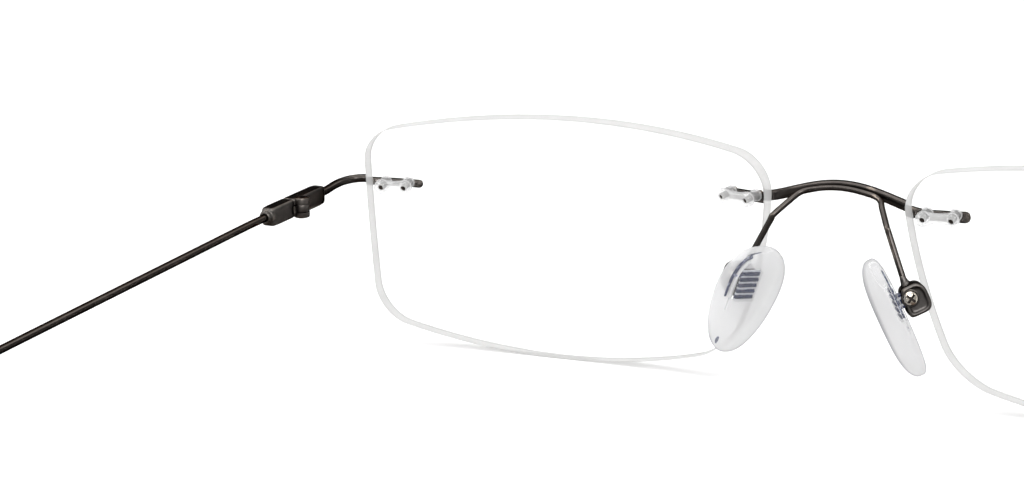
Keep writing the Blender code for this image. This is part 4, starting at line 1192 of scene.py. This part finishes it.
def make_hinge_screw(sign, axis):
    tag = SIDES[sign]
    top, neck, rad = BLOCK_Z1 + 0.02, BLOCK_Z1 - 0.38, 0.45
    profile = [(0, top), (0.50, top - 0.01), (0.68, top - 0.06), (0.77, top - 0.15),
               (0.77, neck), (rad, neck)]
    z = BLOCK_Z1 - 0.7
    while z > KNUCKLE_Z0 + 0.3:  # thread
        profile += [(rad, z), (0.40, z - 0.06), (rad, z - 0.12)]
        z -= 0.2
    profile += [(rad, KNUCKLE_Z0 + 0.12), (0.36, KNUCKLE_Z0), (0, KNUCKLE_Z0 - 0.01)]
    screw = to_object(revolve(profile, axis, Z), "hinge_screw_plated_" + tag, [SCREW_DARK_AND_SLOT_SHADE], 35)
    first = Vector((cos(radians(35)), sin(radians(35)) * sign, 0))
    second = Z.cross(first)
    cut(screw, [block(axis + Z * top, axes, (-0.60, -0.10, -0.22), (0.60, 0.10, 0.4))
                for axes in ((first, second, Z), (second, first, Z))], smooth=35)
    place(screw, "front", "hinge_screw", "hinge_screw_" + tag)


def make_hinge(sign):
    axis = sided(HINGE, sign)
    wire = Vector((WIRE_X * sign, 0, WIRE_Z))
    make_hinge_front(sign, axis, wire)
    make_hinge_rear(sign, axis, wire)
    make_hinge_screw(sign, axis)


# ---------------------------------------------------------------- temples
def temple_path(sign):
    """Straight, gently falling run, ear bend, then straight down to the floor."""
    points = [Vector((WIRE_X, 21.7, WIRE_Z)), Vector((WIRE_X, 26.0, WIRE_Z)),
              Vector((WIRE_X, 30.0, WIRE_Z - 0.05))]
    straight = [Vector((WIRE_X, y, WIRE_Z - TEMPLE_SLOPE * (y - 28.0)))
                for y in (45, 60, 75, 90, *range(96, int(EAR_BEND_Y), 5), EAR_BEND_Y)]
    start = straight.pop()
    points += straight
    angle0, angle1, steps = atan(TEMPLE_SLOPE), radians(EAR_DROP), 8
    for i in range(steps + 1):
        angle = angle0 + (angle1 - angle0) * i / steps
        points.append(Vector((WIRE_X, start.y + EAR_BEND_R * (sin(angle) - sin(angle0)),
                              start.z - EAR_BEND_R * (cos(angle0) - cos(angle)))))
    last = points[-1]
    run = (last.z - TIP_END_R - 0.02) / sin(angle1)
    for i in range(1, 7):
        share = i / 6
        points.append(Vector((WIRE_X, last.y + run * share * cos(angle1),
                              last.z - run * share * sin(angle1))))
    end_y = points[-1].y
    for point in points:
        share = max(0.0, (point.y - TIP_START_Y) / (end_y - TIP_START_Y))
        point.x -= TIP_INWARD * share * share
    return [sided(point, sign) for point in points]


def make_temple_wire(tag, path):
    wire = even(catmull(path[:-1]), 1.0)
    piece = to_object(sweep(wire, lambda _: (TEMPLE_R, TEMPLE_R), 32),
                      "temple_wire_satin_" + tag, [WIRE_METAL], 50)
    place(piece, "temple_" + tag, "gunmetal_wire", "temple_wire_" + tag)


def make_ear_tip(tag, path):
    """Collar, slow swell to a flattened paddle, bore for the wire."""
    step, segs, bore = 0.8, 40, TEMPLE_R + 0.05
    points = even(catmull([point for point in path if point.y >= TIP_START_Y - 3.0]), step)
    frames = path_frames(points)
    total = len(frames) - 1
    outer, inner = [], []
    for i, (point, _, side, rise) in enumerate(frames):
        share, run = i / total, i * step
        radius = TIP_START_R + (TIP_END_R - TIP_START_R) * min(1.0, share / 0.55) ** 0.9
        lip = 0.07 * exp(-((run - 1.0) / 0.7) ** 2) - 0.06 * exp(-((run - 2.8) / 0.5) ** 2)
        if i == 0:
            lip -= 0.12
        wide, high = (radius + lip) * 0.86, radius + lip
        if share > 0.55:
            wide *= 1 - 0.10 * min(1.0, (share - 0.55) / 0.35)
        outer.append(oval(point, side, rise, wide, high, segs))
        if i < total:
            inner.append(oval(point, side, rise, bore, bore, segs))
    end, along = frames[-1][:2]
    last = outer[-1]
    for cap in (15, 30, 45, 60, 75, 86):
        shrink, reach = cos(radians(cap)), sin(radians(cap)) * 1.1
        outer.append([end + along * reach + (point - end) * shrink for point in last])
    tip = to_object(loft(inner[::-1] + outer), "ear_tip_moulded_" + tag, [TIP], 60)
    place(tip, "temple_" + tag, "tip_plastic", "temple_tip_" + tag)


make_bar()
make_pad_arms()
for sign, tag in SIDES.items():
    make_lens(sign)
    make_sleeve(sign, NOSE_HOLES, "nasal")
    make_sleeve(sign, TEMPLE_HOLES, "temporal")
    make_endpiece(sign)
    make_hinge(sign)
    temple = temple_path(sign)
    make_temple_wire(tag, temple)
    make_ear_tip(tag, temple)
    make_pad_box(sign)
    make_pad_screw(sign)
    make_pad(sign)
    make_core(sign)


# ---------------------------------------------------------------- floor, light, camera (metres)
def floor_material():
    mat = new_material("floor_pale_board")
    grain = mat.noise(scale=900.0)
    board = mat.add("BsdfPrincipled", Base_Color=mat.ramp(grain, (0.3, 0.930), (0.7, 0.940)),
                    Roughness=0.55, Specular_IOR_Level=0.15)
    # what satin metal mirrors of the board: bright near the horizon, dark and warm straight below
    steepness = mat.new("SeparateXYZ", Vector=mat.new("NewGeometry").outputs["Incoming"])
    under = mat.ramp(steepness.outputs["Z"], (0.08, 0.26), (0.27, (0.40, 0.385, 0.37)),
                     (0.36, (0.20, 0.185, 0.175)), (0.90, (0.12, 0.083, 0.062)))
    under = mat.add("Emission", Color=under, Strength=1.7)
    path = mat.new("LightPath").outputs
    mirror = mat.math("MULTIPLY", path["Is Glossy Ray"],
                      mat.math("SUBTRACT", 1.0, path["Is Transmission Ray"]))
    # far from the lamps the board goes over into the white background
    away = mat.vector_math("LENGTH", mat.coords())
    haze = mat.add("Emission", Color=(1.0, 1.0, 1.0))
    seen = mat.math("MAXIMUM", path["Is Camera Ray"], path["Is Transmission Ray"])
    fade = mat.math("MULTIPLY", mat.ramp(away, (0.35, 0.0), (0.95, 1.0)), seen)
    return mat.done(mat.mix(mirror, mat.mix(fade, board, haze), under))


def make_floor():
    mesh = bmesh.new()
    bmesh.ops.create_grid(mesh, x_segments=4, y_segments=4, size=2.6)
    for vert in mesh.verts:
        vert.co.z -= 0.00003
    data = bpy.data.meshes.new("studio_floor")
    mesh.to_mesh(data)
    mesh.free()
    floor = bpy.data.objects.new("studio_floor", data)
    bpy.context.scene.collection.objects.link(floor)
    data.materials.append(floor_material())


# What metal mirrors of the studio: (height ramp position, brightness)
SKY_BANDS = ((0.0, 0.10), (0.08, 0.16), (0.15, 0.07), (0.44, 0.05), (0.51, 0.95), (0.60, 0.95),
             (0.67, 0.08), (0.88, 0.11), (1.0, 0.20))


def make_world():
    """White to the camera, banded in reflections, dim grey as light."""
    world = bpy.data.worlds.new("studio")
    bpy.context.scene.world = world
    sky = Shading(world, "OutputWorld")
    path = sky.new("LightPath").outputs
    height = sky.new("SeparateXYZ", Vector=sky.new("TexCoord").outputs["Generated"]).outputs["Z"]
    bands = sky.ramp(height, *((place, (grey, grey * 0.985, grey * 0.97))
                               for place, grey in SKY_BANDS))
    plain = sky.add("Background", Color=(1.0, 1.0, 1.0), Strength=1.0)
    gloss = sky.add("Background", Color=bands, Strength=6.5)
    light = sky.mix(path["Is Glossy Ray"], sky.add("Background", Strength=0.62), gloss)
    seen = sky.math("MAXIMUM", path["Is Camera Ray"], path["Is Transmission Ray"])
    sky.done(sky.mix(seen, light, plain))


def add_lamp(name, location, target, size, power):
    data = bpy.data.lights.new(name, "AREA")
    data.shape = "RECTANGLE"
    data.size, data.size_y = size
    data.energy = power
    lamp = bpy.data.objects.new(name, data)
    lamp.location = Vector(location) + ORIGIN * MM
    lamp.rotation_mode = "QUATERNION"
    aim = Vector(target) - Vector(location)
    lamp.rotation_quaternion = aim.to_track_quat("-Z", "Y")
    bpy.context.scene.collection.objects.link(lamp)


def make_camera():
    """View from behind, above and the wearer's right."""
    data = bpy.data.cameras.new("photo_view")
    data.lens = 149.18095
    data.sensor_width = 36.0
    data.clip_start, data.clip_end = 0.02, 20.0
    camera = bpy.data.objects.new("photo_view", data)
    turn, rise, roll = 0.516587, 0.269189, -0.032285  # radians
    position = Vector((-214.1231, 462.0529, 142.6185 + LENS_CENTRE[2]))
    back = Vector((-sin(turn) * cos(rise), cos(turn) * cos(rise), sin(rise)))
    right = Vector((-cos(turn), -sin(turn), 0.0))
    up = right.cross(-back)
    matrix = Matrix((right * cos(roll) + up * sin(roll), up * cos(roll) - right * sin(roll),
                     back)).transposed().to_4x4()
    matrix.translation = (position + ORIGIN) * MM
    camera.matrix_world = matrix
    bpy.context.scene.collection.objects.link(camera)
    bpy.context.scene.camera = camera


make_floor()
make_world()
add_lamp("soft_top", location=(0.15, 0.15, 0.95), target=(0.0, 0.05, 0.0), size=(1.1, 1.1),
         power=11.0)
add_lamp("soft_left", location=(0.75, 0.55, 0.35), target=(0.0, 0.03, 0.02), size=(0.5, 0.7),
         power=2.2)
add_lamp("soft_camera", location=(-0.55, 0.75, 0.55), target=(0.0, 0.03, 0.02),
         size=(0.35, 0.5), power=4.0)
make_camera()
bpy.context.scene.view_settings.view_transform = "Standard"
bpy.context.scene.view_settings.look = "None"
